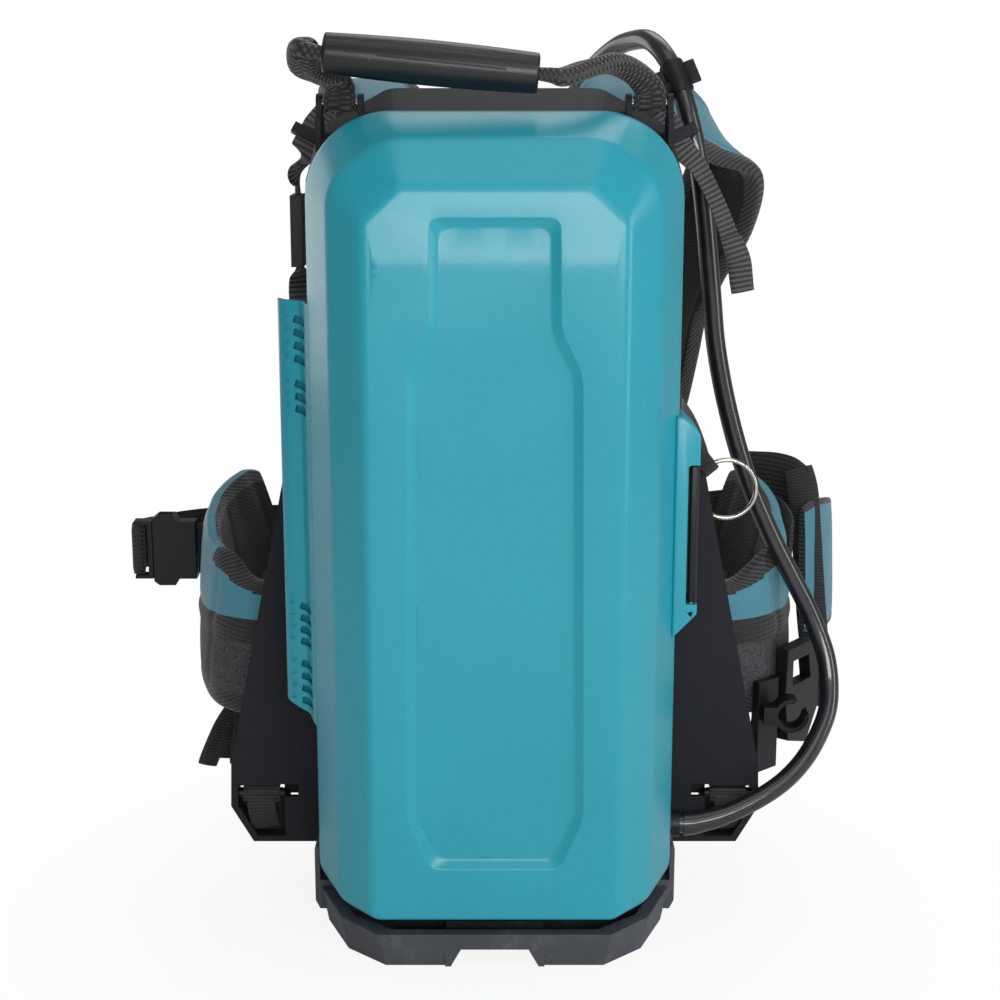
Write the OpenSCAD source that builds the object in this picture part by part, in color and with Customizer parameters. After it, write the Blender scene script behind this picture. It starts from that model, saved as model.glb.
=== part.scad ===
// Backpack battery power pack: a two-shell case for four slide-in batteries, with a
// carry handle, a power lead, a carrying plate and a padded harness.
// Origin on the floor under the middle of the case, +X to the right, -Y towards the
// front cover, +Y towards the wearer, +Z up. Millimetres.

/* [Case] */
// Half of the case's width
case_half_w = 114; // [112:0.5:118]
// Depth of the front cover, from its rim forwards
cover_depth = 70; // [66:1:78]
// Depth of the rear shell, from its rim backwards
shell_depth = 70; // [66:1:74]
// Height of the cover's top edge
case_top = 521; // [515:1:540]
// Height of the case's underside
case_bottom = 31; // [29:0.5:34]
// Rise of the shell's top from its rim to its back
shell_rise = 13; // [8:1:18]
// Wall thickness of both shells
wall = 3; // [2.5:0.1:3.5]
// Depth of the recessed panel in the cover
recess_depth = 3.5; // [2:0.1:4.5]
// Half width of the recessed panel
recess_half_w = 54; // [48:1:58]
// Gap between the cover's rim and the shell's rim
rim_gap = 0.6; // [0.4:0.1:1]
// Angle at which the upper part of the cover's front leans back
face_lean = 5.5; // [3:0.5:7]

/* [Hinge and latch] */
// Diameter of the hinge pin
hinge_pin_d = 4; // [3:0.1:4.4]
// Outer diameter of the hinge knuckles
knuckle_d = 8; // [7.4:0.1:9]
// Length of one knuckle
knuckle_len = 26; // [16:1:32]
// Distance of the hinge axis outside the case's side
hinge_out = 15; // [14:0.5:17]
// Distance of the hinge axis behind the rim
hinge_back = 26; // [24:0.5:28]
// Length of the latch lever
lever_len = 88; // [70:1:94]
// Diameter of the latch pin
latch_pin_d = 3; // [2.4:0.1:3.4]
// Radial running clearance of pins in their holes
run_clear = 0.06; // [0.03:0.01:0.1]

/* [Foot] */
// Height of the foot's front
foot_h = 22.3; // [18:0.1:25]
// Height of the foot's side wings
foot_wing_h = 50; // [42:1:56]
// Wall thickness of the foot
foot_wall = 4; // [3:0.5:6]
// Half width of the hollow under the foot's front
foot_notch_half_w = 28; // [20:1:34]
// Height of the hollow under the foot's front
foot_notch_h = 11.5; // [8:0.5:13]

/* [Batteries] */
// Width of one battery
battery_w = 75; // [70:1:80]
// Height of one battery
battery_h = 115; // [100:1:120]
// Depth of one battery without its rail
battery_d = 58; // [50:1:60]
// Distance from the middle of the case to the middle of a battery
battery_x = 46; // [43:0.5:48]
// Height of the lower batteries' underside
battery_low_z = 62; // [58:1:66]
// Height of the upper batteries' underside
battery_high_z = 296; // [292:1:304]
// Travel of a battery along its rails
battery_travel = 50; // [30:1:54]
// Width of a battery's rail
rail_w = 46; // [36:1:50]
// Clearance round a battery's rail
rail_clear = 0.5; // [0.3:0.1:0.8]
// Diameter of a battery's release button
button_d = 14; // [10:0.5:18]

/* [Tray and electronics] */
// Thickness of the battery tray
tray_t = 3; // [2.5:0.1:4]
// Distance of the tray's front behind the rim
tray_y = 42; // [40:0.5:44]
// Width of the control box
control_w = 110; // [90:1:130]
// Height of the control box
control_h = 42; // [30:1:46]
// Depth of the control box
control_d = 40; // [30:1:44]
// Diameter of the check button
check_d = 12; // [8:0.5:16]
// Diameter of the inner leads
lead_d = 6; // [4:0.5:7]

/* [Power lead] */
// Diameter of the power lead
cord_d = 13; // [11:0.5:13.5]
// Outer diameter of the gland
gland_d = 22; // [19:0.5:26]
// Height of the gland above the floor
gland_z = 50; // [48:0.5:54]
// Distance of the gland behind the rim
gland_y = 40; // [36:0.5:46]
// Diameter of the plug at the lead's end
plug_d = 34; // [28:1:38]
// Length of the plug
plug_len = 62; // [50:1:70]

/* [Carry handle] */
// Diameter of the grip
grip_d = 26.5; // [24:0.5:28]
// Diameter of the handle's anchor pins
anchor_pin_d = 5; // [4:0.1:5.4]
// Width of the handle's webbing
handle_web_w = 20; // [16:1:22]
// Thickness of webbing
web_t = 2.4; // [1.6:0.1:2.8]
// Distance of the anchors' middles inside the case's side
anchor_in = 19; // [17:0.5:22]
// Height of the anchor pins
anchor_z = 525; // [523:0.5:530]
// Distance of the anchor pins behind the rim
anchor_y = 35; // [32:0.5:38]

/* [Harness plate] */
// Half width of the plate at its lower corners
plate_half_w = 182; // [176:1:186]
// Thickness of the plate
plate_t = 4; // [3:0.5:6]
// Depth of the plate's rim
plate_rim = 14; // [10:0.5:16]
// Height of the plate's underside
plate_bottom = 24; // [18:0.5:28]
// Height of the plate's top
plate_top = 492; // [485:1:500]
// Width of the lower strap windows
window_w = 32; // [29:0.5:34]
// Height of the lower strap windows
window_h = 37; // [33:0.5:38]
// Diameter of the bars in the strap windows
bar_d = 7; // [5:0.5:8]

/* [Harness] */
// Thickness of the back pad
back_pad_t = 18; // [12:1:22]
// Half width of the back pad
back_pad_half_w = 78; // [60:1:84]
// Width of a shoulder strap
strap_w = 62; // [54:1:64]
// Thickness of a shoulder strap
strap_t = 13; // [10:0.5:14]
// Thickness of a hip pad
hip_t = 16; // [12:0.5:18]
// Width of the harness webbing
web_w = 25; // [20:1:26]
// Width of the waist webbing
waist_w = 38; // [34:1:40]
// Outer diameter of the steel ring
ring_d = 43; // [40:0.5:46]
// Diameter of the steel ring's wire
ring_wire_d = 3; // [2.6:0.1:3.4]
// Inner radius of the tool hook
hook_r = 9; // [8:0.25:10]
// Length of the tool hook
hook_len = 14; // [10:1:18]

/* [Hidden] */
$fn = 48;

eps = 0.01;
soft_gap = 0.3;
fixed_clear = 0.02;
TEAL = "#3a9aab";
CHARCOAL = "#2c2d31";
BLACK = "#18191b";
GREY = "#45484d";
STEEL = "#b9bcc0";

// ---------- shared geometry ----------

// A slab with its outline in X and Z, from y0 back to y1
module slab(y0, y1) {
    translate([0, y1, 0]) rotate([90, 0, 0]) linear_extrude(y1 - y0) children();
}

module both_sides() {
    children();
    mirror([1, 0, 0]) children();
}

function unit(v) = v / norm(v);
function sgn_pow(v, e) = sign(v) * pow(abs(v), e);
function mirror_x(p) = [for (r = p) [for (i = [0 : len(r) - 1]) (i == 0 || i == 4 || i == 5) ? -r[i] : r[i]]];

// Smooth curve through rows of numbers, m steps between neighbours
function spline_row(a, b, c, d, t) =
    0.5 * (2 * b + (c - a) * t + (2 * a - 5 * b + 4 * c - d) * t * t + (3 * b - a - 3 * c + d) * t * t * t);
function smooth(p, m) = [
    for (i = [0 : len(p) - 2]) for (j = [0 : m - 1])
        spline_row(p[max(i - 1, 0)], p[i], p[i + 1], p[min(i + 2, len(p) - 1)], j / m),
    p[len(p) - 1]
];
function xyz(r) = [r[0], r[1], r[2]];
function tangent(p, i) = unit(xyz(p[min(i + 1, len(p) - 1)]) - xyz(p[max(i - 1, 0)]));

// A closed skin over rings of points, in triangles. A ring that isn't convex has as many
// points above as below, and its ends are closed by a strip between them
module skin(rings, strip_ends = false) {
    n = len(rings[0]);
    m = len(rings);
    sides = [for (i = [0 : m - 2]) for (k = [0 : n - 1]) for (half = [0, 1])
        let (a = i * n + k, b = i * n + (k + 1) % n)
        half == 0 ? [a, b, a + n] : [b, b + n, a + n]];
    cap = strip_ends
        ? [for (k = [0 : n / 2 - 2]) each [[k, n - 1 - k, k + 1], [k + 1, n - 1 - k, n - 2 - k]]]
        : [for (k = [1 : n - 2]) [0, k + 1, k]];
    first_cap = cap;
    last_cap = [for (c = cap) [c[0], c[2], c[1]] + (m - 1) * n * [1, 1, 1]];
    polyhedron([for (r = rings) each r], concat(sides, first_cap, last_cap));
}

// Rows are [x, y, z, wx, wy, wz, width, thickness]: w is the direction of the width
function band_ring(p, i, n, e, flat) =
    let (t = tangent(p, i),
         w0 = [p[i][3], p[i][4], p[i][5]],
         w = unit(w0 - t * (w0 * t)),
         u = cross(w, t),
         hw = p[i][6] / 2,
         ht = p[i][7] / 2)
    [for (k = [0 : n - 1])
        let (a = flat ? 45 + 90 * k : 360 * k / n,
             c = flat ? sign(cos(a)) : sgn_pow(cos(a), e),
             s = flat ? sign(sin(a)) : sgn_pow(sin(a), e))
        xyz(p[i]) + w * hw * c + u * ht * s];
module band(rows, m) {
    p = smooth(rows, m);
    skin([for (i = [0 : len(p) - 1]) band_ring(p, i, 4, 1, true)]);
}
module padding(rows, m, n = 14) {
    p = smooth(rows, m);
    skin([for (i = [0 : len(p) - 1]) band_ring(p, i, n, 0.55, false)]);
}

// Rows for webbing that turns round a bar: middle c, radius r, from angle a0 to a1 in the
// plane of directions a and b, with the width along w
function turn_round(c, r, a0, a1, a, b, w, width, t) = [
    for (k = [0 : 6]) let (g = a0 + (a1 - a0) * k / 6)
        concat(c + r * (a * cos(g) + b * sin(g)), w, [width, t])];

// A round tube swept along its own route; each ring's frame follows the one before
function carry(u, t) = unit(u - t * (u * t));
function tube_frames(p, i, u) = i >= len(p) ? [] :
    let (v = carry(u, tangent(p, i))) concat([v], tube_frames(p, i + 1, v));
module tube(route, m, d, n) {
    p = smooth(route, m);
    frames = tube_frames(p, 0, [0, 0, 1]);
    skin([for (i = [0 : len(p) - 1])
        let (t = tangent(p, i), u = frames[i], v = cross(u, t))
        [for (k = [0 : n - 1]) xyz(p[i]) + d / 2 * (u * cos(360 * k / n) + v * sin(360 * k / n))]]);
}

// ---------- case ----------

// Round corners of the case's outline: [x, z, radius] at the rim, on the shoulder,
// round the front and at the shell's back
rim_corners = [[case_half_w - 58, case_top - 20, 20], [case_half_w - 21, case_top - 44, 21],
               [case_half_w - 14, case_bottom + 14, 14]];
mid_inset = 16;
mid_corners = [[case_half_w - 64, case_top - 30, 16], [case_half_w - mid_inset - 12, case_top - 54, 12],
               [case_half_w - mid_inset - 10, case_bottom + 10, 10]];
front_inset = 37;
// the face leans back above the crease; a fourth number moves a corner back
crease_z = case_top - 84;
front_corners = [[case_half_w - 62, case_top - 48, 8, 36 * tan(face_lean)],
                 [case_half_w - front_inset - 8, case_top - 64, 8, 20 * tan(face_lean)],
                 [case_half_w - front_inset - 8, crease_z, 8, 0],
                 [case_half_w - front_inset - 8, case_bottom + 8, 8, 0]];
back_corners = [[case_half_w - 52, case_top + shell_rise - 20, 20], [case_half_w - 19, case_top - 24, 19],
                [case_half_w - 15, case_bottom + 14, 14]];
mid_y = cover_depth - 32;
rim_y = 7;

module corner_discs(corners, inset, y0, y1) {
    for (c = corners) for (side = [-1, 1])
        translate([side * c[0], y1, c[1]]) rotate([90, 0, 0]) cylinder(r = c[2] - inset, h = y1 - y0, $fn = 32);
}
module corner_balls(corners, inset, y) {
    for (c = corners) for (side = [-1, 1])
        translate([side * c[0], y + (len(c) > 3 ? c[3] : 0), c[1]]) sphere(r = c[2] - inset, $fn = 24);
}
module cover_body(inset, rim_end) {
    hull() {
        corner_discs(rim_corners, inset, -rim_y, rim_end);
        corner_balls(mid_corners, inset, -mid_y);
        corner_balls(front_corners, inset, 8 - cover_depth);
    }
}
module shell_body(inset, y0, y1) {
    hull() {
        corner_discs(rim_corners, inset, y0, y0 + 2);
        corner_discs(back_corners, inset, y1 - 2, y1);
    }
}

// Outline of the recessed panel, grown by d
neck_half_w = recess_half_w - 16;
recess_bottom = case_bottom + 35;
recess_top = case_top - 58;
module recess_outline(d) {
    half = [[recess_half_w - 14 + d, recess_bottom - d], [recess_half_w + d, recess_bottom + 33],
            [recess_half_w - 3 + d, recess_top - 90 + d / 2], [neck_half_w + d, recess_top - 64 + d / 2],
            [neck_half_w - 1 + d, recess_top + d]];
    polygon(concat(half, [for (i = [len(half) - 1 : -1 : 0]) [-half[i][0], half[i][1]]]));
}
recess_steps = 4;
recess_slope = 6;
// Lays a slab's outline along the face, below and above the crease
module along_face(y0, y1) {
    slab(y0, y1) intersection() {
        children();
        translate([-case_half_w, 0]) square([2 * case_half_w, crease_z]);
    }
    translate([0, -cover_depth, crease_z]) rotate([-face_lean, 0, 0]) translate([0, cover_depth, -crease_z])
        slab(y0, y1) intersection() {
            children();
            translate([-case_half_w, crease_z]) square([2 * case_half_w, 2 * (case_top - crease_z)]);
        }
}
module recess_cut() {
    for (i = [0 : recess_steps - 1]) {
        share = (i + 1) / recess_steps;
        along_face(-cover_depth - 1, -cover_depth + recess_depth * share)
            recess_outline(-recess_slope * share + recess_slope / recess_steps);
    }
}

// Hinge: the skirt on the cover's left side covers the knuckles
hinge_x = -(case_half_w + hinge_out);
skirt_low = 135;
skirt_high = 411;
skirt_t = 2.5;
skirt_out = hinge_out + knuckle_d / 2 + skirt_t;
knuckle_gap = 0.4;
knuckle_z = [for (z = [160 : 62 : 350]) z];
louvre_z = [391.5, 383.3, 375, 366.8, 351, 343, 335.2, 204.5, 196.7, 188.8, 181, 166, 157.6, 149.2, 141];
module skirt_outline() {
    x = case_half_w;
    polygon([[-x + 4, -13], [-x - 0.5, -5], [-x - 3.5, 3], [-x - 5, 10], [-x - 13, 13.5], [-x - 18, 17],
             [-x - skirt_out, 22], [-x - skirt_out, hinge_back],
             [-x - skirt_out + skirt_t, hinge_back], [-x - skirt_out + skirt_t, 22.5],
             [-x - 16.5, 19], [-x - 12, 16], [-x - 3, 12.6], [-x - 0.8, 3], [-x - 0.8, -rim_gap], [-x + 1.5, -4]]);
}
module skirt() {
    difference() {
        translate([0, 0, skirt_low]) linear_extrude(skirt_high - skirt_low) skirt_outline();
        for (z = louvre_z) translate([-case_half_w - 13.5, 2, z - 2.4])
            rotate([0, 0, 12]) cube([11.5, 16, 4.6]);
        skirt_end_chamfers();
    }
}
module skirt_end_chamfers() {
    for (end = [[skirt_high, 1], [skirt_low, -1]])
        translate([-case_half_w - skirt_out, hinge_back / 2, end[0]])
            rotate([0, end[1] * 35, 0]) translate([-10, -20, end[1] > 0 ? 0 : -20]) cube([60, 40, 20]);
}
module cover_knuckles() {
    for (z = knuckle_z) translate([hinge_x, hinge_back, z]) difference() {
        union() {
            cylinder(d = knuckle_d, h = knuckle_len);
            translate([-knuckle_d / 2, 15.5 - hinge_back, 0]) cube([knuckle_d, hinge_back - 15.5, knuckle_len]);
        }
        translate([0, 0, -1]) cylinder(d = hinge_pin_d + 2 * run_clear, h = knuckle_len + 2);
    }
}
module shell_knuckles() {
    for (z = knuckle_z) translate([hinge_x, hinge_back, z - knuckle_len / 2 - knuckle_gap]) difference() {
        union() {
            cylinder(d = knuckle_d, h = knuckle_len / 2);
            translate([0, -2.5, 0]) cube([hinge_out + wall / 2, 5, knuckle_len / 2]);
        }
        translate([0, 0, -1]) cylinder(d = hinge_pin_d, h = knuckle_len / 2 + 2);
    }
}
module hinge_pin() {
    low = knuckle_z[0] - knuckle_len / 2 - knuckle_gap;
    high = knuckle_z[len(knuckle_z) - 1] + knuckle_len;
    color(STEEL) translate([hinge_x, hinge_back, low]) cylinder(d = hinge_pin_d, h = high - low);
}

// Latch: a teal boss on the cover's right side carries the lever
lever_mid_z = 264;
boss_low = lever_mid_z - 67;
boss_high = lever_mid_z + 75;
boss_out = 12.5;
boss_y0 = -16;
boss_y1 = 16;
lever_y0 = -14;
lever_x = case_half_w + 5.6;
lever_t = 7.6;
lever_pin_x = lever_x + 3.4;
lever_pin_y = lever_y0 + 3.6;
module latch_boss() {
    difference() {
        slab(boss_y0, boss_y1) polygon([
            [case_half_w - 2, boss_low], [case_half_w + boss_out, boss_low + 17],
            [case_half_w + boss_out, boss_high - 11], [case_half_w + 3, boss_high - 1],
            [case_half_w - 2, boss_high]]);
        // the boss stands clear of the shell's side behind the rim
        translate([case_half_w - 8, -rim_gap, boss_low - 5])
            cube([8 + 1, boss_y1 + 5, boss_high - boss_low + 10]);
        // pocket for the lever, open outwards and to the front
        translate([lever_x - 0.4, boss_y0 - 1, lever_mid_z - lever_len / 2 - 0.4])
            cube([20, boss_y1 - boss_y0 + 2, lever_len + 0.8]);
        // small drain hole under the lever
        translate([case_half_w + 8, 0, boss_low + 17]) rotate([90, 0, 0])
            cylinder(r = 2.2, h = 60, center = true);
        translate([lever_pin_x, lever_pin_y, boss_low + 20])
            cylinder(d = latch_pin_d, h = boss_high - boss_low - 40);
    }
    // floor of the pocket that joins the boss's two ends
    translate([case_half_w + 1, -rim_y, lever_mid_z - lever_len / 2 - 1])
        cube([lever_x - 0.4 - case_half_w - 1, boss_y1 + rim_y, lever_len + 2]);
}
module latch_lever() {
    color(BLACK) difference() {
        translate([0, 0, lever_mid_z - lever_len / 2]) linear_extrude(lever_len) {
            translate([lever_pin_x, lever_pin_y]) circle(r = 3.2);
            polygon([[lever_x + 1.2, lever_y0 + 1], [lever_x + 6, lever_y0 + 1], [lever_x + lever_t, lever_y0 + 8],
                     [lever_x + lever_t, 9], [lever_x + lever_t + 1.6, 14], [lever_x + lever_t - 1, 15.5],
                     [lever_x + 3.4, 12], [lever_x + 2.6, lever_pin_y + 2]]);
        }
        translate([lever_pin_x, lever_pin_y, 0]) cylinder(d = latch_pin_d + 2 * run_clear, h = 500);
        for (i = [-3 : 3]) translate([lever_x + lever_t + 0.5, 2, lever_mid_z + i * 5])
            rotate([0, 90, 0]) cylinder(d = 1.6, h = 3, center = true, $fn = 16);
    }
}
module latch_pin() {
    color(STEEL) translate([lever_pin_x, lever_pin_y, boss_low + 20])
        cylinder(d = latch_pin_d, h = boss_high - boss_low - 40);
}

module front_cover() {
    color(TEAL) {
        difference() {
            cover_body(0, -rim_gap);
            difference() {
                cover_body(wall, 1);
                along_face(-cover_depth, -cover_depth + recess_depth + wall) recess_outline(3);
            }
            recess_cut();
        }
        skirt();
        cover_knuckles();
        latch_boss();
    }
}

seal_w = 3;
module seal_ring(inset, w) {
    difference() {
        corner_outline(inset);
        corner_outline(inset + w);
    }
}
module corner_outline(inset) {
    hull() for (c = rim_corners) for (side = [-1, 1])
        translate([side * c[0], c[1]]) circle(r = c[2] - inset, $fn = 48);
}
module cover_seal() {
    color(BLACK) slab(-2.4, 0) seal_ring(wall + 0.9, seal_w);
}

module anchor_ears() {
    ear_t = 3.6;
    for (side = [-1, 1]) for (x = [-1, 1])
        translate([side * anchor_x + x * (handle_web_w / 2 + 2.7) - ear_t / 2, 0, 0]) difference() {
            union() {
                translate([0, anchor_y, anchor_z]) rotate([0, 90, 0]) cylinder(d = anchor_pin_d + 7, h = ear_t);
                translate([0, anchor_y - 13, case_top - 26]) cube([ear_t, 26, 22]);
                translate([0, anchor_y - 6, case_top - 6]) cube([ear_t, 12, anchor_z - case_top + 6]);
            }
            translate([-1, anchor_y, anchor_z]) rotate([0, 90, 0])
                cylinder(d = anchor_pin_d + 2 * fixed_clear, h = ear_t + 2);
        }
}
module rear_shell() {
    color(CHARCOAL) {
        difference() {
            union() {
                shell_body(0, 0, shell_depth);
                anchor_ears();
            }
            shell_body(wall, -3, shell_depth - wall);
            translate([0, gland_y, gland_z]) rotate([0, 90, 0]) cylinder(d = gland_d - 6, h = 200);
            foot_screw_places() translate([0, 0, case_bottom - 1]) cylinder(d = screw_hole_d, h = 14);
            plate_screw_places() rotate([90, 0, 0]) cylinder(d = screw_hole_d, h = 14, center = true);
        }
        // ledge that carries the seal
        slab(0, 2.5) seal_ring(wall - 0.5, seal_w + 2);
        foot_screw_places() translate([0, 0, case_bottom + wall - 0.5]) difference() {
            cylinder(d = screw_d + 6, h = 9);
            translate([0, 0, -1]) cylinder(d = screw_hole_d, h = 12);
        }
        tray_screw_places() translate([0, shell_depth - wall + 0.5, 0]) rotate([90, 0, 0]) difference() {
            cylinder(d = screw_d + 6, h = shell_depth - wall + 0.5 - tray_y - tray_t);
            cylinder(d = screw_hole_d, h = 60);
        }
        plate_screw_places() translate([0, -wall + 0.5, 0]) rotate([90, 0, 0]) difference() {
            cylinder(d = screw_d + 6, h = 8);
            translate([0, 0, -1]) cylinder(d = screw_hole_d, h = 10);
        }
        shell_knuckles();
    }
}

// ---------- foot ----------

screw_d = 4;
screw_hole_d = screw_d + 2 * fixed_clear;
screw_head_d = 8;
screw_head_h = 2.4;
foot_back_y = shell_depth;
module foot_outline(grow) {
    half = [[case_half_w - 42 + grow, -cover_depth - grow], [case_half_w - 17 + grow, -45 - grow / 2],
            [case_half_w - 1 + grow, -2], [case_half_w - 1 + grow, foot_back_y]];
    polygon(concat(half, [for (i = [len(half) - 1 : -1 : 0]) [-half[i][0], half[i][1]]]));
}
module foot_screw_places() {
    for (x = [-80, 80]) for (y = [14, shell_depth - 16]) translate([x, y, 0]) children();
}
module foot_wing() {
    inner = case_half_w + 0.6;
    outer = case_half_w + 4;
    slab(2, gland_y - gland_d / 2 - 2) polygon([[inner - 8, 6], [outer - 3, 6], [outer, 12], [outer, foot_wing_h - 2],
        [outer - 1.5, foot_wing_h], [inner, foot_wing_h], [inner, case_bottom - 5], [inner - 8, case_bottom - 5]]);
}
module base_foot() {
    bar_half_w = case_half_w - 16;
    color(GREY) difference() {
        union() {
            difference() {
                hull() {
                    linear_extrude(1) foot_outline(-4);
                    translate([0, 0, foot_h - 1]) linear_extrude(1) foot_outline(0);
                }
                translate([0, 0, 4]) linear_extrude(60) foot_outline(-foot_wall - 4);
            }
            // two bars and four bosses carry the shell
            for (y = [3, foot_back_y - 10])
                translate([-bar_half_w, y, 3]) cube([2 * bar_half_w, 5, case_bottom - 3]);
            both_sides() foot_wing();
            foot_screw_places() cylinder(d = screw_head_d + 6, h = case_bottom);
            // wall round the hollow in front
            translate([-foot_notch_half_w - 3, -cover_depth + 2, 0])
                cube([2 * foot_notch_half_w + 6, 34, foot_notch_h + 3]);
        }
        slab(-cover_depth - 9, -cover_depth + 33) polygon([
            [-foot_notch_half_w, -1], [-foot_notch_half_w + 7, foot_notch_h],
            [foot_notch_half_w - 7, foot_notch_h], [foot_notch_half_w, -1]]);
        foot_screw_places() {
            translate([0, 0, -1]) cylinder(d = screw_d + 0.6, h = case_bottom + 2);
            translate([0, 0, -1]) cylinder(d = screw_head_d + 1, h = 11);
        }
    }
}
module screw(len) {
    cylinder(d = screw_head_d, h = screw_head_h);
    translate([0, 0, screw_head_h - eps]) cylinder(d = screw_d, h = len);
}
module foot_screws() {
    color(STEEL) foot_screw_places() translate([0, 0, 10 - screw_head_h]) screw(case_bottom + wall - 4);
}

// ---------- tray, batteries and electronics ----------

tray_half_w = case_half_w - wall - 7;
tray_low = case_bottom + 13;
tray_high = case_top - 45;
module tray_screw_places() {
    for (x = [-tray_half_w + 8, tray_half_w - 8]) for (z = [tray_low + 14, (tray_low + tray_high) / 2, tray_high - 14])
        translate([x, 0, z]) children();
}
module battery_tray() {
    color(CHARCOAL) difference() {
        slab(tray_y, tray_y + tray_t) translate([-tray_half_w, tray_low])
            square([2 * tray_half_w, tray_high - tray_low]);
        tray_screw_places() translate([0, tray_y + tray_t + 1, 0]) rotate([90, 0, 0])
            cylinder(d = screw_d + 0.6, h = tray_t + 2);
    }
}
module tray_screws() {
    color(STEEL) tray_screw_places() translate([0, tray_y - screw_head_h, 0]) rotate([-90, 0, 0])
        screw(tray_t + 12);
}

battery_places = [[-battery_x, battery_low_z], [battery_x, battery_low_z],
                  [-battery_x, battery_high_z], [battery_x, battery_high_z]];
block_d = 13;
block_y = tray_y - block_d;
rail_low = 26;
module terminal_block(n) {
    place = battery_places[n - 1];
    color(BLACK) translate([place[0], 0, place[1]]) difference() {
        slab(block_y, tray_y) translate([-battery_w / 2 + 4, -9]) square([battery_w - 8, 100]);
        // slot for the battery's rail, undercut, open at the top
        slab(block_y - 1, block_y + 5) translate([-rail_w / 2 + 5 - rail_clear, rail_low - rail_clear])
            square([rail_w - 10 + 2 * rail_clear, 100]);
        slab(block_y + 4, block_y + 9 + 2 * rail_clear) translate([-rail_w / 2 - rail_clear, rail_low - rail_clear])
            square([rail_w + 2 * rail_clear, 100]);
        for (x = [-12, 12]) slab(block_y - 1, block_y + 8) translate([x - 1, 4]) square([2, 30]);
    }
}
rail_y = block_y + 4 + rail_clear + 0.3;
module battery(n) {
    place = battery_places[n - 1];
    color("#222326") translate([place[0], 0, place[1]]) difference() {
        union() {
            slab(block_y - 0.6 - battery_d, block_y - 0.6) hull() for (x = [-1, 1]) for (z = [9, battery_h - 9])
                translate([x * (battery_w / 2 - 9), z]) circle(r = 9, $fn = 32);
            slab(block_y - 1, rail_y + 1) translate([-rail_w / 2 + 5.5, rail_low]) square([rail_w - 11, 62]);
            slab(rail_y, rail_y + 4) translate([-rail_w / 2, rail_low]) square([rail_w, 62]);
        }
        translate([0, block_y - battery_d - 1, battery_h - 24]) rotate([-90, 0, 0])
            cylinder(d = button_d + 2 * run_clear, h = 9);
        for (z = [18, 30, 42]) slab(block_y - battery_d - 2, block_y - battery_d + 0.6)
            translate([-24, z]) square([48, 4]);
    }
}
button_travel = 3;
module battery_button(n) {
    place = battery_places[n - 1];
    front = block_y - 0.6 - battery_d;
    color("#b3262a") translate([place[0], front - button_travel + 0.5, place[1] + battery_h - 24])
        rotate([-90, 0, 0]) cylinder(d = button_d, h = 7);
}

control_z = (battery_low_z + battery_h + battery_travel + 5 + battery_high_z - 9) / 2 - control_h / 2;
control_y = tray_y - control_d;
module control_box() {
    color(CHARCOAL) difference() {
        slab(control_y, tray_y) translate([-control_w / 2, control_z]) square([control_w, control_h]);
        translate([30, control_y - 1, control_z + control_h / 2]) rotate([-90, 0, 0])
            cylinder(d = check_d + 2 * run_clear, h = 8);
        slab(control_y - 1, control_y + 1.5) translate([-38, control_z + control_h / 2 - 7]) square([46, 14]);
    }
}
module indicator_lens() {
    color("#c9d3d6") slab(control_y - 0.5, control_y + 1.5) translate([-38 + 0.2, control_z + control_h / 2 - 7 + 0.2])
        square([46 - 0.4, 14 - 0.4]);
}
module check_button() {
    color(GREY) translate([30, control_y - 1.5, control_z + control_h / 2]) rotate([-90, 0, 0])
        cylinder(d = check_d, h = 6);
}
// Leads from each terminal block to the control box, and one down to the gland
lead_side_y = tray_y - lead_d / 2 - 0.2;
lead_x = battery_x - battery_w / 2 + 4 + lead_d / 2;
module lead_between(z0, z1, x) {
    translate([x, lead_side_y, z0]) cylinder(d = lead_d, h = z1 - z0, $fn = 24);
}
module inner_leads() {
    low_top = battery_low_z - 9 + 100;
    color(BLACK) {
        for (x = [-lead_x, lead_x]) {
            lead_between(low_top, control_z, x);
            lead_between(control_z + control_h, battery_high_z - 9, x);
        }
        // the outgoing pair runs down between the two columns
        for (x = [-4.4, 4.4]) {
            lead_between(gland_z + lead_d, control_z, x);
        }
    }
}

// ---------- power lead ----------

module cord_gland() {
    color(BLACK) translate([case_half_w - 2, gland_y, gland_z]) rotate([0, 90, 0]) difference() {
        union() {
            translate([0, 0, -6]) cylinder(d = gland_d - 6.2, h = 10);
            translate([0, 0, 2.2]) cylinder(d = gland_d, h = 5);
            translate([0, 0, 7]) cylinder(d = cord_d + 5, h = 5);
        }
        translate([0, 0, -7]) cylinder(d = cord_d - 4, h = 30);
    }
}
cord_start_x = case_half_w + 10.3;
// Route of the lead: out of the gland, up the right side, over the strap and down behind
cord_route = [
    [cord_start_x, gland_y, gland_z], [131, gland_y, gland_z], [139, 41, 51], [153, 43, 54], [168, 47, 59], [184, 52, 66],
    [199, 58, 75], [212, 65, 87], [222, 73, 101], [229, 81, 116], [231, 89, 132], [229, 95, 150],
    [223, 100, 168], [215, 103, 186], [205, 105, 205], [194, 107, 226], [184, 108, 247],
    [174, 108, 270], [166, 108, 293], [159, 108, 317], [153, 108, 342], [148, 107, 369],
    [145, 106, 396], [142, 105, 423], [139, 104, 449], [136, 104, 472], [132, 104, 494],
    [128, 106, 511], [124, 109, 526], [119, 114, 540], [114, 122, 551], [108, 133, 560],
    [102, 147, 565], [95, 163, 565], [86, 181, 562], [76, 200, 554], [66, 219, 542],
    [57, 236, 525], [50, 248, 503], [46, 255, 478], [44, 258, 450], [44, 259, 420], [44, 259, 388],
    [44, 259, 355]];
module power_cord() {
    color(BLACK) tube(cord_route, 1, cord_d, 12);
}
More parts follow.
